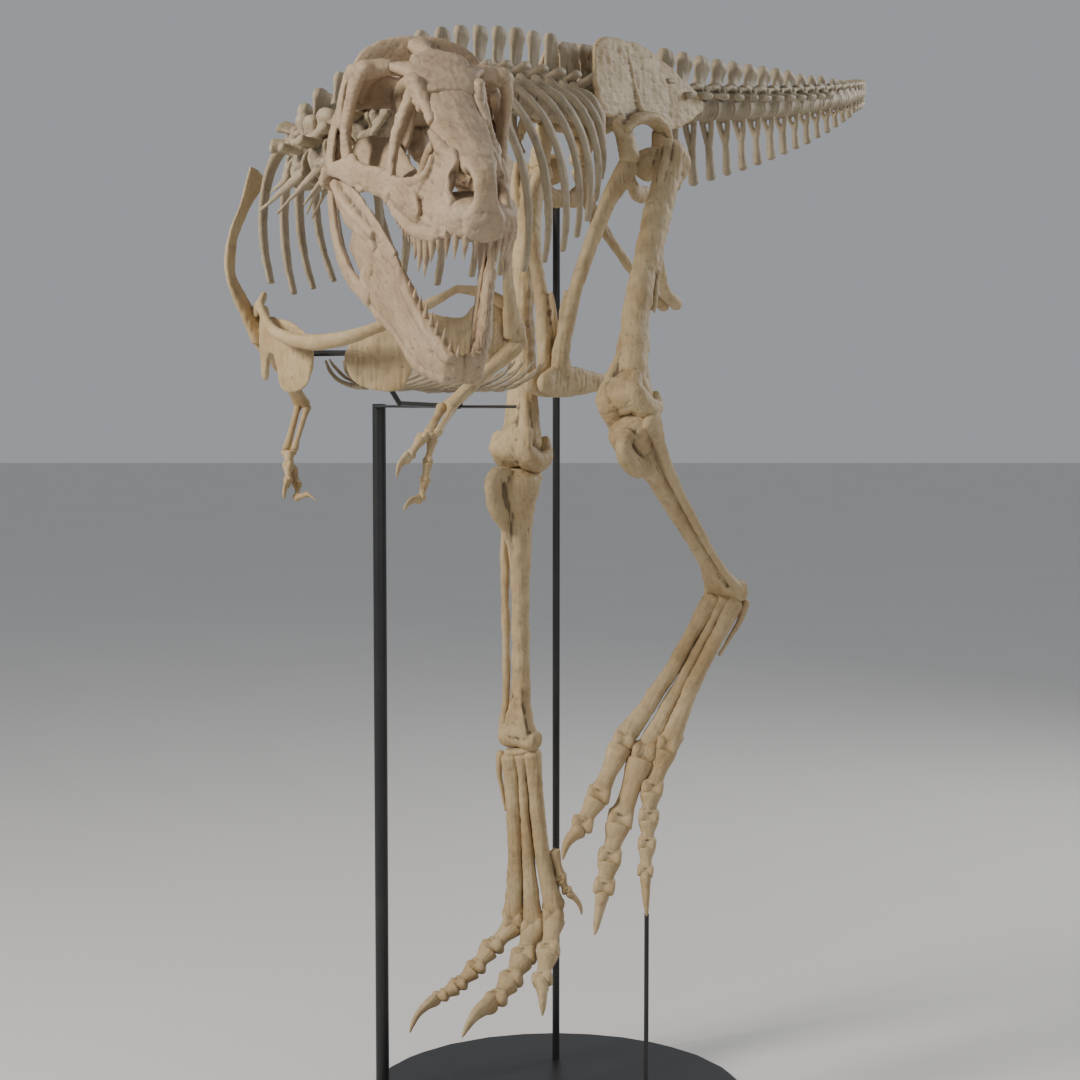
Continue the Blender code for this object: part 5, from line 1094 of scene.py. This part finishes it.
def build_skull():
    """Skull bone by bone. Side bones are mirrored with their sign s."""
    head_bone("braincase", [
        sweep([(-0.010, 0, 0.130, 0.050, 0.048), (0.060, 0, 0.150, 0.052, 0.050),
               (0.160, 0, 0.175, 0.050, 0.036), (0.250, 0, 0.190, 0.050, 0.020)],
              (0, 1, 0), 40, 36, 2.3),
        sweep([(-0.046, 0, 0.128, 0.019, 0.018), (-0.005, 0, 0.130, 0.024, 0.024)], (0, 1, 0), 14, 24),
        sweep([(-0.004, 0, 0.100, 0.034, 0.026), (0.030, 0, 0.060, 0.026, 0.022),
               (0.070, 0, 0.040, 0.014, 0.016)], (0, 1, 0), 20, 24),
        *[sweep([(0.010, s * 0.040, 0.150, 0.018, 0.030), (0.000, s * 0.090, 0.150, 0.016, 0.034),
                 (-0.004, s * 0.128, 0.135, 0.013, 0.024)],
                (1, 0, 0), 24, 22, 2.6) for s in (1, -1)],
    ], seed=500, rough=0.8)
    head_bone("nape_crest", [
        blade([(0.030, -0.138, 0.150), (0.010, -0.128, 0.202), (0.000, -0.100, 0.236),
               (-0.006, -0.040, 0.256), (-0.006, 0.040, 0.256),
               (0.000, 0.100, 0.236), (0.010, 0.128, 0.202), (0.030, 0.138, 0.150)],
              [(0.036, -0.112, 0.130), (0.022, -0.095, 0.160), (0.014, -0.070, 0.178),
               (0.010, -0.025, 0.190), (0.010, 0.025, 0.190),
               (0.014, 0.070, 0.178), (0.022, 0.095, 0.160), (0.036, 0.112, 0.130)],
              (0.020, 0.018, 0.017, 0.020, 0.017, 0.018, 0.020), 90, 36, 2.6),
        sweep([(-0.002, 0, 0.243, 0.026, 0.014), (0.050, 0, 0.232, 0.015, 0.018),
               (0.110, 0, 0.228, 0.017, 0.022), (0.165, 0, 0.236, 0.036, 0.018)],
              (0, 1, 0), 40, 30, 2.0),
        sweep([(0.000, 0, 0.235, 0.010, 0.012), (-0.012, 0, 0.190, 0.009, 0.012),
               (-0.014, 0, 0.150, 0.010, 0.012)], (0, 1, 0), 20, 18),
    ], seed=504, rough=0.8)
    head_bone("forehead", [
        blade([(0.145, -0.104, 0.208), (0.185, -0.094, 0.220), (0.235, -0.072, 0.220),
               (0.285, -0.056, 0.210), (0.330, -0.044, 0.194)],
              [(0.145, 0.104, 0.208), (0.185, 0.094, 0.220), (0.235, 0.072, 0.220), (0.285, 0.056, 0.210),
               (0.330, 0.044, 0.194)],
              (0.024, 0.030, 0.032, 0.030, 0.024), 50, 60, 2.8),
        sweep([(0.140, 0, 0.230, 0.036, 0.013), (0.175, 0, 0.240, 0.050, 0.013),
               (0.215, 0, 0.234, 0.056, 0.014), (0.270, 0, 0.216, 0.052, 0.014)],
              (0, 1, 0), 34, 40, 2.0),
    ], seed=508, rough=0.7)
    head_bone("nasals", [
        sweep([(0.285, 0, 0.192, 0.045, 0.022), (0.330, 0, 0.180, 0.047, 0.022),
               (0.400, 0, 0.158, 0.049, 0.024), (0.470, 0, 0.140, 0.050, 0.025),
               (0.530, 0, 0.127, 0.047, 0.024), (0.580, 0, 0.119, 0.040, 0.020),
               (0.620, 0, 0.113, 0.029, 0.014)], (0, 1, 0), 80, 48, 2.4),
        sweep([(0.310, 0, 0.198, 0.016, 0.005), (0.400, 0, 0.178, 0.018, 0.006),
               (0.500, 0, 0.156, 0.016, 0.005), (0.580, 0, 0.136, 0.012, 0.005)],
              (0, 1, 0), 60, 30),
        *[sweep([(0.330, s * 0.034, 0.186, 0.010, 0.010), (0.400, s * 0.037, 0.168, 0.009, 0.009),
                 (0.470, s * 0.038, 0.150, 0.008, 0.008),
                 (0.540, s * 0.034, 0.134, 0.006, 0.006)], (0, 1, 0), 44, 18) for s in (1, -1)],
    ], seed=512, rough=0.9)
    head_bone("front_snout", [
        sweep([(0.545, 0, 0.030, 0.078, 0.030), (0.595, 0, 0.032, 0.076, 0.033),
               (0.635, 0, 0.033, 0.067, 0.034), (0.666, 0, 0.033, 0.052, 0.034),
               (0.684, 0, 0.034, 0.036, 0.031)], (0, 1, 0), 50, 60, 2.7),
        sweep([(0.680, 0, 0.044, 0.032, 0.018), (0.688, 0, 0.070, 0.022, 0.013),
               (0.680, 0, 0.095, 0.020, 0.012), (0.652, 0, 0.112, 0.022, 0.011),
               (0.600, 0, 0.126, 0.030, 0.012)], (0, 1, 0), 50, 30, 2.3),
        sweep([(0.690, 0, 0.010, 0.004, 0.006), (0.697, 0, 0.040, 0.005, 0.007),
               (0.694, 0, 0.070, 0.004, 0.006)], (0, 1, 0), 20, 16),
    ], seed=516, rough=0.9)
    for s in (1, -1):
        tag = TAG[s]
        head_bone("squamosal_" + tag, [
            sweep(mirrored([(0.020, 0.130, 0.170, 0.016, 0.022), (0.060, 0.136, 0.190, 0.015, 0.017),
                            (0.110, 0.136, 0.200, 0.014, 0.014),
                            (0.150, 0.132, 0.203, 0.016, 0.015)], s), (0, 1, 0), 34, 26, 2.3),
            sweep(mirrored([(0.026, 0.138, 0.178, 0.012, 0.022), (0.046, 0.150, 0.146, 0.010, 0.020),
                            (0.064, 0.155, 0.116, 0.009, 0.020),
                            (0.080, 0.156, 0.092, 0.008, 0.014)], s), (0, 1, 0), 34, 24, 2.3),
        ], seed=520 + s, rough=0.7)
        head_bone("postorbital_" + tag, [
            sweep(mirrored([(0.176, 0.085, 0.218, 0.022, 0.015), (0.164, 0.115, 0.212, 0.024, 0.017),
                            (0.150, 0.138, 0.203, 0.022, 0.019)], s),
                  (1, 0, 0), 26, 28, 2.3),
            sweep(mirrored([(0.156, 0.136, 0.206, 0.014, 0.028), (0.146, 0.146, 0.172, 0.011, 0.023),
                            (0.124, 0.150, 0.132, 0.010, 0.024),
                            (0.108, 0.152, 0.098, 0.010, 0.026), (0.112, 0.151, 0.066, 0.010, 0.028),
                            (0.128, 0.148, 0.036, 0.009, 0.026)], s),
                  (0, 1, 0), 60, 28, 2.3),
            knob((0.166, s * 0.128, 0.214), (0.030, 0.020, 0.015), None, 24),
        ], seed=524 + s, rough=0.8)
        head_bone("cheek_" + tag, [
            sweep(mirrored([(0.350, 0.090, 0.014, 0.008, 0.018), (0.300, 0.101, 0.024, 0.009, 0.028),
                            (0.240, 0.123, 0.022, 0.010, 0.024),
                            (0.190, 0.136, 0.020, 0.011, 0.026), (0.150, 0.144, 0.022, 0.011, 0.030),
                            (0.110, 0.152, 0.014, 0.011, 0.022),
                            (0.060, 0.158, 0.006, 0.010, 0.016), (0.020, 0.161, -0.002, 0.009, 0.013),
                            (-0.020, 0.160, -0.010, 0.008, 0.010)], s),
                  (0, 1, 0), 90, 34, 2.5),
            knob((0.205, s * 0.134, 0.000), (0.030, 0.010, 0.010), None, 20),
            knob((0.320, s * 0.099, 0.010), (0.022, 0.010, 0.018), None, 20),
        ], seed=528 + s, rough=0.9)
        head_bone("quadrate_" + tag, [
            sweep(mirrored([(0.000, 0.148, -0.012, 0.020, 0.020), (0.004, 0.146, 0.040, 0.012, 0.020),
                            (0.014, 0.142, 0.100, 0.012, 0.018),
                            (0.026, 0.134, 0.160, 0.013, 0.018)], s), (0, 1, 0), 44, 26, 2.3),
            pulley((0.000, s * 0.146, -0.016), (0, 1, 0), 0.018, 0.066, 0.25),
            blade(mirrored([(-0.016, 0.166, -0.020), (-0.010, 0.168, 0.020), (0.000, 0.166, 0.070),
                            (0.022, 0.160, 0.112), (0.046, 0.154, 0.136)], s),
                  mirrored([(0.046, 0.161, -0.006), (0.036, 0.162, 0.026), (0.042, 0.160, 0.070),
                            (0.062, 0.156, 0.100), (0.078, 0.154, 0.120)], s),
                  (0.012, 0.011, 0.010, 0.010), 40, 28, 2.5),
        ], seed=532 + s, rough=0.8)
        head_bone("lacrimal_" + tag, [
            sweep(mirrored([(0.262, 0.058, 0.208, 0.017, 0.016), (0.300, 0.056, 0.200, 0.016, 0.017),
                            (0.345, 0.050, 0.182, 0.011, 0.012),
                            (0.420, 0.048, 0.160, 0.008, 0.008)], s), (0, 1, 0), 44, 28, 2.2),
            sweep(mirrored([(0.290, 0.060, 0.200, 0.013, 0.022), (0.290, 0.070, 0.165, 0.011, 0.017),
                            (0.296, 0.084, 0.120, 0.010, 0.015),
                            (0.304, 0.092, 0.076, 0.010, 0.017), (0.314, 0.098, 0.034, 0.009, 0.024)], s),
                            (0, 1, 0), 54, 28, 2.3),
            knob((0.290, s * 0.058, 0.212), (0.026, 0.014, 0.010), None, 22),
            knob((0.318, s * 0.056, 0.181), (0.018, 0.009, 0.011), None, 20),
            knob((0.336, s * 0.054, 0.170), (0.012, 0.008, 0.009), None, 16),
        ], seed=536 + s, rough=1.2)
        wall_top = mirrored([(0.325, 0.094, 0.040), (0.390, 0.088, 0.052), (0.450, 0.081, 0.062),
                             (0.500, 0.073, 0.074), (0.520, 0.066, 0.092),
                             (0.514, 0.056, 0.116), (0.500, 0.050, 0.138), (0.545, 0.040, 0.138),
                             (0.580, 0.038, 0.136), (0.608, 0.037, 0.120),
                             (0.604, 0.044, 0.100), (0.622, 0.048, 0.080), (0.650, 0.044, 0.062)], s)
        wall_low = mirrored([(f, snout_half(f), u) for f, u in ((0.300, 0.002), (0.350, -0.008),
                                                          (0.400, -0.015), (0.440, -0.019), (0.480, -0.020),
                                                                 (0.520, -0.020), (0.555, -0.016),
                                                                 (0.590, -0.011), (0.620, -0.006),
                                                                 (0.655, 0.000))], s)
        head_bone("maxilla_" + tag, [
            blade(wall_top, wall_low, (0.014, 0.016, 0.018, 0.020, 0.020, 0.022, 0.022, 0.022, 0.020), 120,
                  70, 2.8, bow=0.005 * s),
            sweep(mirrored([(0.310, 0.096, 0.000, 0.010, 0.011), (0.400, 0.090, -0.011, 0.012, 0.012),
                            (0.500, 0.085, -0.014, 0.013, 0.013),
                            (0.560, 0.075, -0.009, 0.013, 0.013), (0.610, 0.062, -0.002, 0.013, 0.014)], s),
                            (0, 1, 0), 60, 26, 2.2),
            sweep(mirrored([(0.330, 0.096, 0.036, 0.006, 0.009), (0.400, 0.089, 0.048, 0.006, 0.008),
                            (0.470, 0.080, 0.064, 0.006, 0.008),
                            (0.512, 0.070, 0.082, 0.006, 0.008), (0.512, 0.060, 0.112, 0.006, 0.008)], s),
                            (0, 1, 0), 60, 18),
            sweep(mirrored([(0.440, 0.052, 0.142, 0.006, 0.007), (0.480, 0.049, 0.136, 0.010, 0.011),
                            (0.525, 0.046, 0.129, 0.011, 0.012),
                            (0.580, 0.038, 0.120, 0.009, 0.010)], s), (0, 1, 0), 50, 22),
            sweep(mirrored([(0.612, 0.064, 0.000, 0.010, 0.020), (0.614, 0.061, 0.030, 0.011, 0.024),
                            (0.608, 0.056, 0.058, 0.009, 0.020)], s),
                  (0, 1, 0), 26, 24),
            knob((0.400, s * 0.092, 0.014), (0.040, 0.008, 0.016), None, 20),
            knob((0.500, s * 0.084, 0.022), (0.045, 0.010, 0.024), None, 22),
        ], seed=540 + s, rough=1.0)
        head_bone("palate_" + tag, [
            blade(mirrored([(0.030, 0.118, 0.060), (0.090, 0.086, 0.080), (0.160, 0.060, 0.080),
                            (0.240, 0.050, 0.060), (0.310, 0.044, 0.050)], s),
                  mirrored([(0.020, 0.128, 0.004), (0.080, 0.104, 0.008), (0.160, 0.090, 0.016),
                            (0.240, 0.086, 0.020), (0.310, 0.074, 0.026)], s),
                  (0.012, 0.013, 0.014, 0.013, 0.012), 60, 34, 2.6),
            sweep(mirrored([(0.240, 0.090, 0.010, 0.010, 0.014), (0.190, 0.074, 0.010, 0.012, 0.012),
                            (0.150, 0.064, 0.024, 0.010, 0.010)], s),
                  (0, 0, 1), 26, 18),
            sweep(mirrored([(0.150, 0.052, 0.050, 0.007, 0.018), (0.156, 0.038, 0.100, 0.006, 0.016),
                            (0.160, 0.032, 0.160, 0.007, 0.014)], s),
                  (0, 1, 0), 26, 18),
            blade(mirrored([(0.320, 0.012, 0.040), (0.450, 0.010, 0.034), (0.600, 0.008, 0.026)], s),
                  mirrored([(0.320, 0.074, 0.030), (0.450, 0.076, 0.018), (0.600, 0.056, 0.012)], s),
                  (0.010, 0.010, 0.010), 40, 30, 2.8),
            sweep(mirrored([(0.330, 0.046, 0.045, 0.008, 0.018), (0.370, 0.046, 0.080, 0.007, 0.016),
                            (0.410, 0.042, 0.116, 0.007, 0.012)], s),
                  (0, 1, 0), 24, 16),
            sweep(mirrored([(0.390, 0.040, 0.040, 0.008, 0.020), (0.430, 0.044, 0.070, 0.007, 0.016),
                            (0.470, 0.044, 0.110, 0.007, 0.012)], s),
                  (0, 1, 0), 24, 16),
        ], seed=544 + s, rough=0.8)
        for k, (f, l, size) in enumerate(TOOTH_ROW):
            u = 0.002 - 0.02 * max(0.0, min(1.0, (0.66 - f) / 0.1))
            radius = 0.0095 if k < 4 else 0.0145 if size > 0.04 else 0.0115
            tooth("upper_tooth_%s_%02d" % (tag, k + 1), (f, s * l, u), size, radius, HEAD, -1, 550 + k,
                  "skull")


TOOTH_ROW = ((0.686, 0.012, 0.030), (0.680, 0.028, 0.034), (0.664, 0.041, 0.036), (0.642, 0.051, 0.038),
             (0.618, 0.060, 0.028),
             (0.597, 0.067, 0.046), (0.574, 0.072, 0.074), (0.549, 0.078, 0.066), (0.523, 0.081, 0.050),
             (0.497, 0.083, 0.032),
             (0.472, 0.085, 0.028), (0.446, 0.086, 0.026), (0.420, 0.087, 0.028), (0.394, 0.088, 0.022),
             (0.368, 0.089, 0.018))
LOWER_ROW = ((0.588, 0.014, 0.028), (0.575, 0.026, 0.034), (0.557, 0.035, 0.038), (0.534, 0.044, 0.036),
             (0.509, 0.050, 0.034),
             (0.484, 0.056, 0.034), (0.459, 0.062, 0.030), (0.434, 0.068, 0.028), (0.409, 0.074, 0.026),
             (0.385, 0.080, 0.020))


def build_jaw():
    """Lower jaw: on each side the toothed front bone, the deep rear plate, the thin strut below its
    opening, and the joint; the two sides meet at the chin."""
    for s in (1, -1):
        tag = TAG[s]

        def edge(pairs, more=0.0, s=s):
            return [(f, s * (jaw_half(f) + more), u) for f, u in pairs]

        head_bone("dentary_" + tag, [
            blade(edge(((0.300, 0.068), (0.345, 0.070), (0.375, 0.056), (0.420, 0.040), (0.470, 0.036),
                        (0.520, 0.038), (0.560, 0.042), (0.592, 0.040))),
                  edge(((0.215, -0.118), (0.280, -0.106), (0.345, -0.088), (0.415, -0.077), (0.470, -0.072),
                        (0.515, -0.063), (0.555, -0.044),
                        (0.592, -0.016))), (0.016, 0.020, 0.024, 0.026, 0.027, 0.028, 0.028, 0.026), 90, 56,
                        2.8),
            sweep([(f, s * (jaw_half(f) + 0.002), u, a, a) for f, u,
                   a in ((0.372, 0.052, 0.010), (0.420, 0.036, 0.012), (0.480, 0.031, 0.013),
                                                                          (0.540, 0.033, 0.014),
                                                                (0.588, 0.032, 0.014))], (0, 1, 0), 60, 24),
            sweep([(f, s * jaw_half(f), u, a, a * 1.1) for f, u,
                   a in ((0.230, -0.110, 0.011), (0.320, -0.092, 0.013), (0.420, -0.070, 0.014),
                                                                      (0.510, -0.056, 0.015),
                                                               (0.588, -0.006, 0.016))], (0, 1, 0), 60, 24),
            knob((0.588, s * 0.012, 0.010), (0.018, 0.020, 0.034), None, 28),
            knob((0.250, s * 0.117, -0.086), (0.050, 0.011, 0.030), None, 26),
        ], JAW, "jaw", seed=600 + s, rough=1.1)
        head_bone("jaw_plate_" + tag, [
            blade(edge(((-0.030, -0.012), (0.010, -0.010), (0.050, 0.012), (0.087, 0.030), (0.150, 0.054),
                        (0.205, 0.067), (0.277, 0.073), (0.345, 0.074))),
                  edge(((-0.034, -0.058), (0.010, -0.064), (0.060, -0.062), (0.110, -0.052),
                        (0.170, -0.028), (0.230, 0.000), (0.290, 0.014),
                        (0.345, 0.030))), (0.020, 0.017, 0.014, 0.014, 0.014, 0.015, 0.015, 0.015), 90, 46,
                        2.7, bow=0.006 * s),
            sweep([(f, s * (jaw_half(f) + 0.005), u, a, b) for f, u, a,
                   b in ((-0.010, -0.026, 0.013, 0.016), (0.060, -0.014, 0.013, 0.014),
                                                                             (0.150, 0.014, 0.010, 0.012),
                                                                             (0.260, 0.046, 0.008, 0.010))],
                  (0, 1, 0), 50, 22),
            sweep([(f, s * jaw_half(f), u, 0.009, b) for f, u,
                   b in ((0.255, 0.020, 0.024), (0.262, -0.010, 0.024), (0.256, -0.050, 0.026),
                                                                   (0.240, -0.088, 0.030))], (0, 1, 0), 40,
                                                                   26, 2.6),
        ], JAW, "jaw", seed=606 + s, rough=1.0)
        head_bone("jaw_strut_" + tag, [
            sweep([(f, s * (jaw_half(f) + 0.002), u, 0.008, b) for f, u,
                   b in ((-0.036, -0.058, 0.014), (0.006, -0.092, 0.016), (0.060, -0.113, 0.017),
                                                                              (0.120, -0.119, 0.017),
                                                           (0.180, -0.119, 0.018), (0.245, -0.106, 0.016))],
                  (0, 1, 0), 80, 26, 2.5),
        ], JAW, "jaw", seed=612 + s, rough=0.9)
        head_bone("jaw_joint_" + tag, [
            sweep(mirrored([(-0.012, 0.112, -0.036, 0.020, 0.014), (-0.012, 0.146, -0.042, 0.024, 0.016),
                            (-0.012, 0.170, -0.036, 0.018, 0.013)], s),
                  (1, 0, 0), 30, 24),
            sweep(mirrored([(-0.016, 0.142, -0.044, 0.018, 0.018), (-0.046, 0.140, -0.050, 0.014, 0.016)],
                           s), (0, 1, 0), 14, 20),
        ], JAW, "jaw", seed=618 + s, rough=0.8)
        head_bone("jaw_lining_" + tag, [
            blade(edge(((0.140, 0.020), (0.240, 0.030), (0.380, 0.020), (0.520, 0.006)), -0.014),
                  edge(((0.120, -0.104), (0.240, -0.092), (0.380, -0.070), (0.520, -0.046)), -0.012),
                  (0.008, 0.008, 0.010, 0.010), 60, 34, 2.8),
        ], JAW, "jaw", seed=624 + s, rough=0.7)
        for k, (f, l, size) in enumerate(LOWER_ROW):
            tooth("lower_tooth_%s_%02d" % (tag, k + 1), (f, s * l, 0.036), size, 0.0110 if k > 1
                  else 0.0085, JAW, 1, 630 + k, "jaw")


# Stand and setting
build_spine()
build_tail()
for side in (1, -1):
    build_leg(side)
    build_foot(side)
    build_arm(side)
    build_hips(side)
build_furcula()
build_gastralia()
build_skull()
build_jaw()

STAND = ("stand_base", "stand_post", "stand_cradle", "stand_yoke", "stand_rod_hip", "stand_rod_foot")
for name in STAND:
    obj = bpy.data.objects[name]
    obj.data.materials.clear()
    obj.data.materials.append(BLACK)

FLOOR = Paint("floor")
place = FLOOR.place()
FLOOR.feed("Base Color", FLOOR.mix(FLOOR.noise(place, 0.8, 3.0), (0.66, 0.65, 0.63, 1),
                                   (0.70, 0.69, 0.67, 1)))
FLOOR.feed("Roughness", 0.72 + 0.1 * FLOOR.noise(place, 30.0, 3.0))
mesh = bpy.data.meshes.new("floor")
mesh.from_pydata([(-90, -60, 0), (90, -60, 0), (90, 120, 0), (-90, 120, 0)], [], [(0, 1, 2, 3)])
floor = bpy.data.objects.new("floor", mesh)
floor.data.materials.append(FLOOR.mat)
bpy.context.scene.collection.objects.link(floor)


def area_light(name, at, toward, size, power, colour):
    """Soft panel at one place facing another."""
    lamp = bpy.data.lights.new(name, "AREA")
    lamp.shape = "DISK"
    lamp.size, lamp.energy, lamp.color = size, power, colour
    obj = bpy.data.objects.new(name, lamp)
    bpy.context.scene.collection.objects.link(obj)
    at, toward = np.array(at, float), np.array(toward, float)
    z = unit(at - toward)
    x = unit(np.cross(UP, z))
    y = np.cross(z, x)
    m = np.eye(4)
    m[:3, 0], m[:3, 1], m[:3, 2], m[:3, 3] = x, y, z, at
    obj.matrix_world = Matrix(m.tolist())
    return obj


area_light("key", (-2.6, -4.6, 4.6), (0.1, -0.3, 1.9), 1.6, 360, (1.0, 0.955, 0.89))
area_light("fill", (4.4, -2.6, 2.6), (0.1, 0.2, 1.7), 3.2, 36, (0.93, 0.96, 1.0))
area_light("rim", (1.8, 5.2, 4.4), (0.0, 0.8, 2.2), 2.2, 160, (1.0, 0.98, 0.95))

world = bpy.data.worlds.new("studio")
bpy.context.scene.world = world
world.use_nodes = True
world.node_tree.nodes["Background"].inputs["Color"].default_value = (0.80, 0.83, 0.88, 1)
world.node_tree.nodes["Background"].inputs["Strength"].default_value = 0.42

lens = bpy.data.cameras.new("camera")
lens.lens, lens.sensor_width, lens.clip_end = LENS, SENSOR, 60.0
camera = bpy.data.objects.new("camera", lens)
camera.location, camera.rotation_euler = CAMERA_AT, CAMERA_TURN
bpy.context.scene.collection.objects.link(camera)
bpy.context.scene.camera = camera
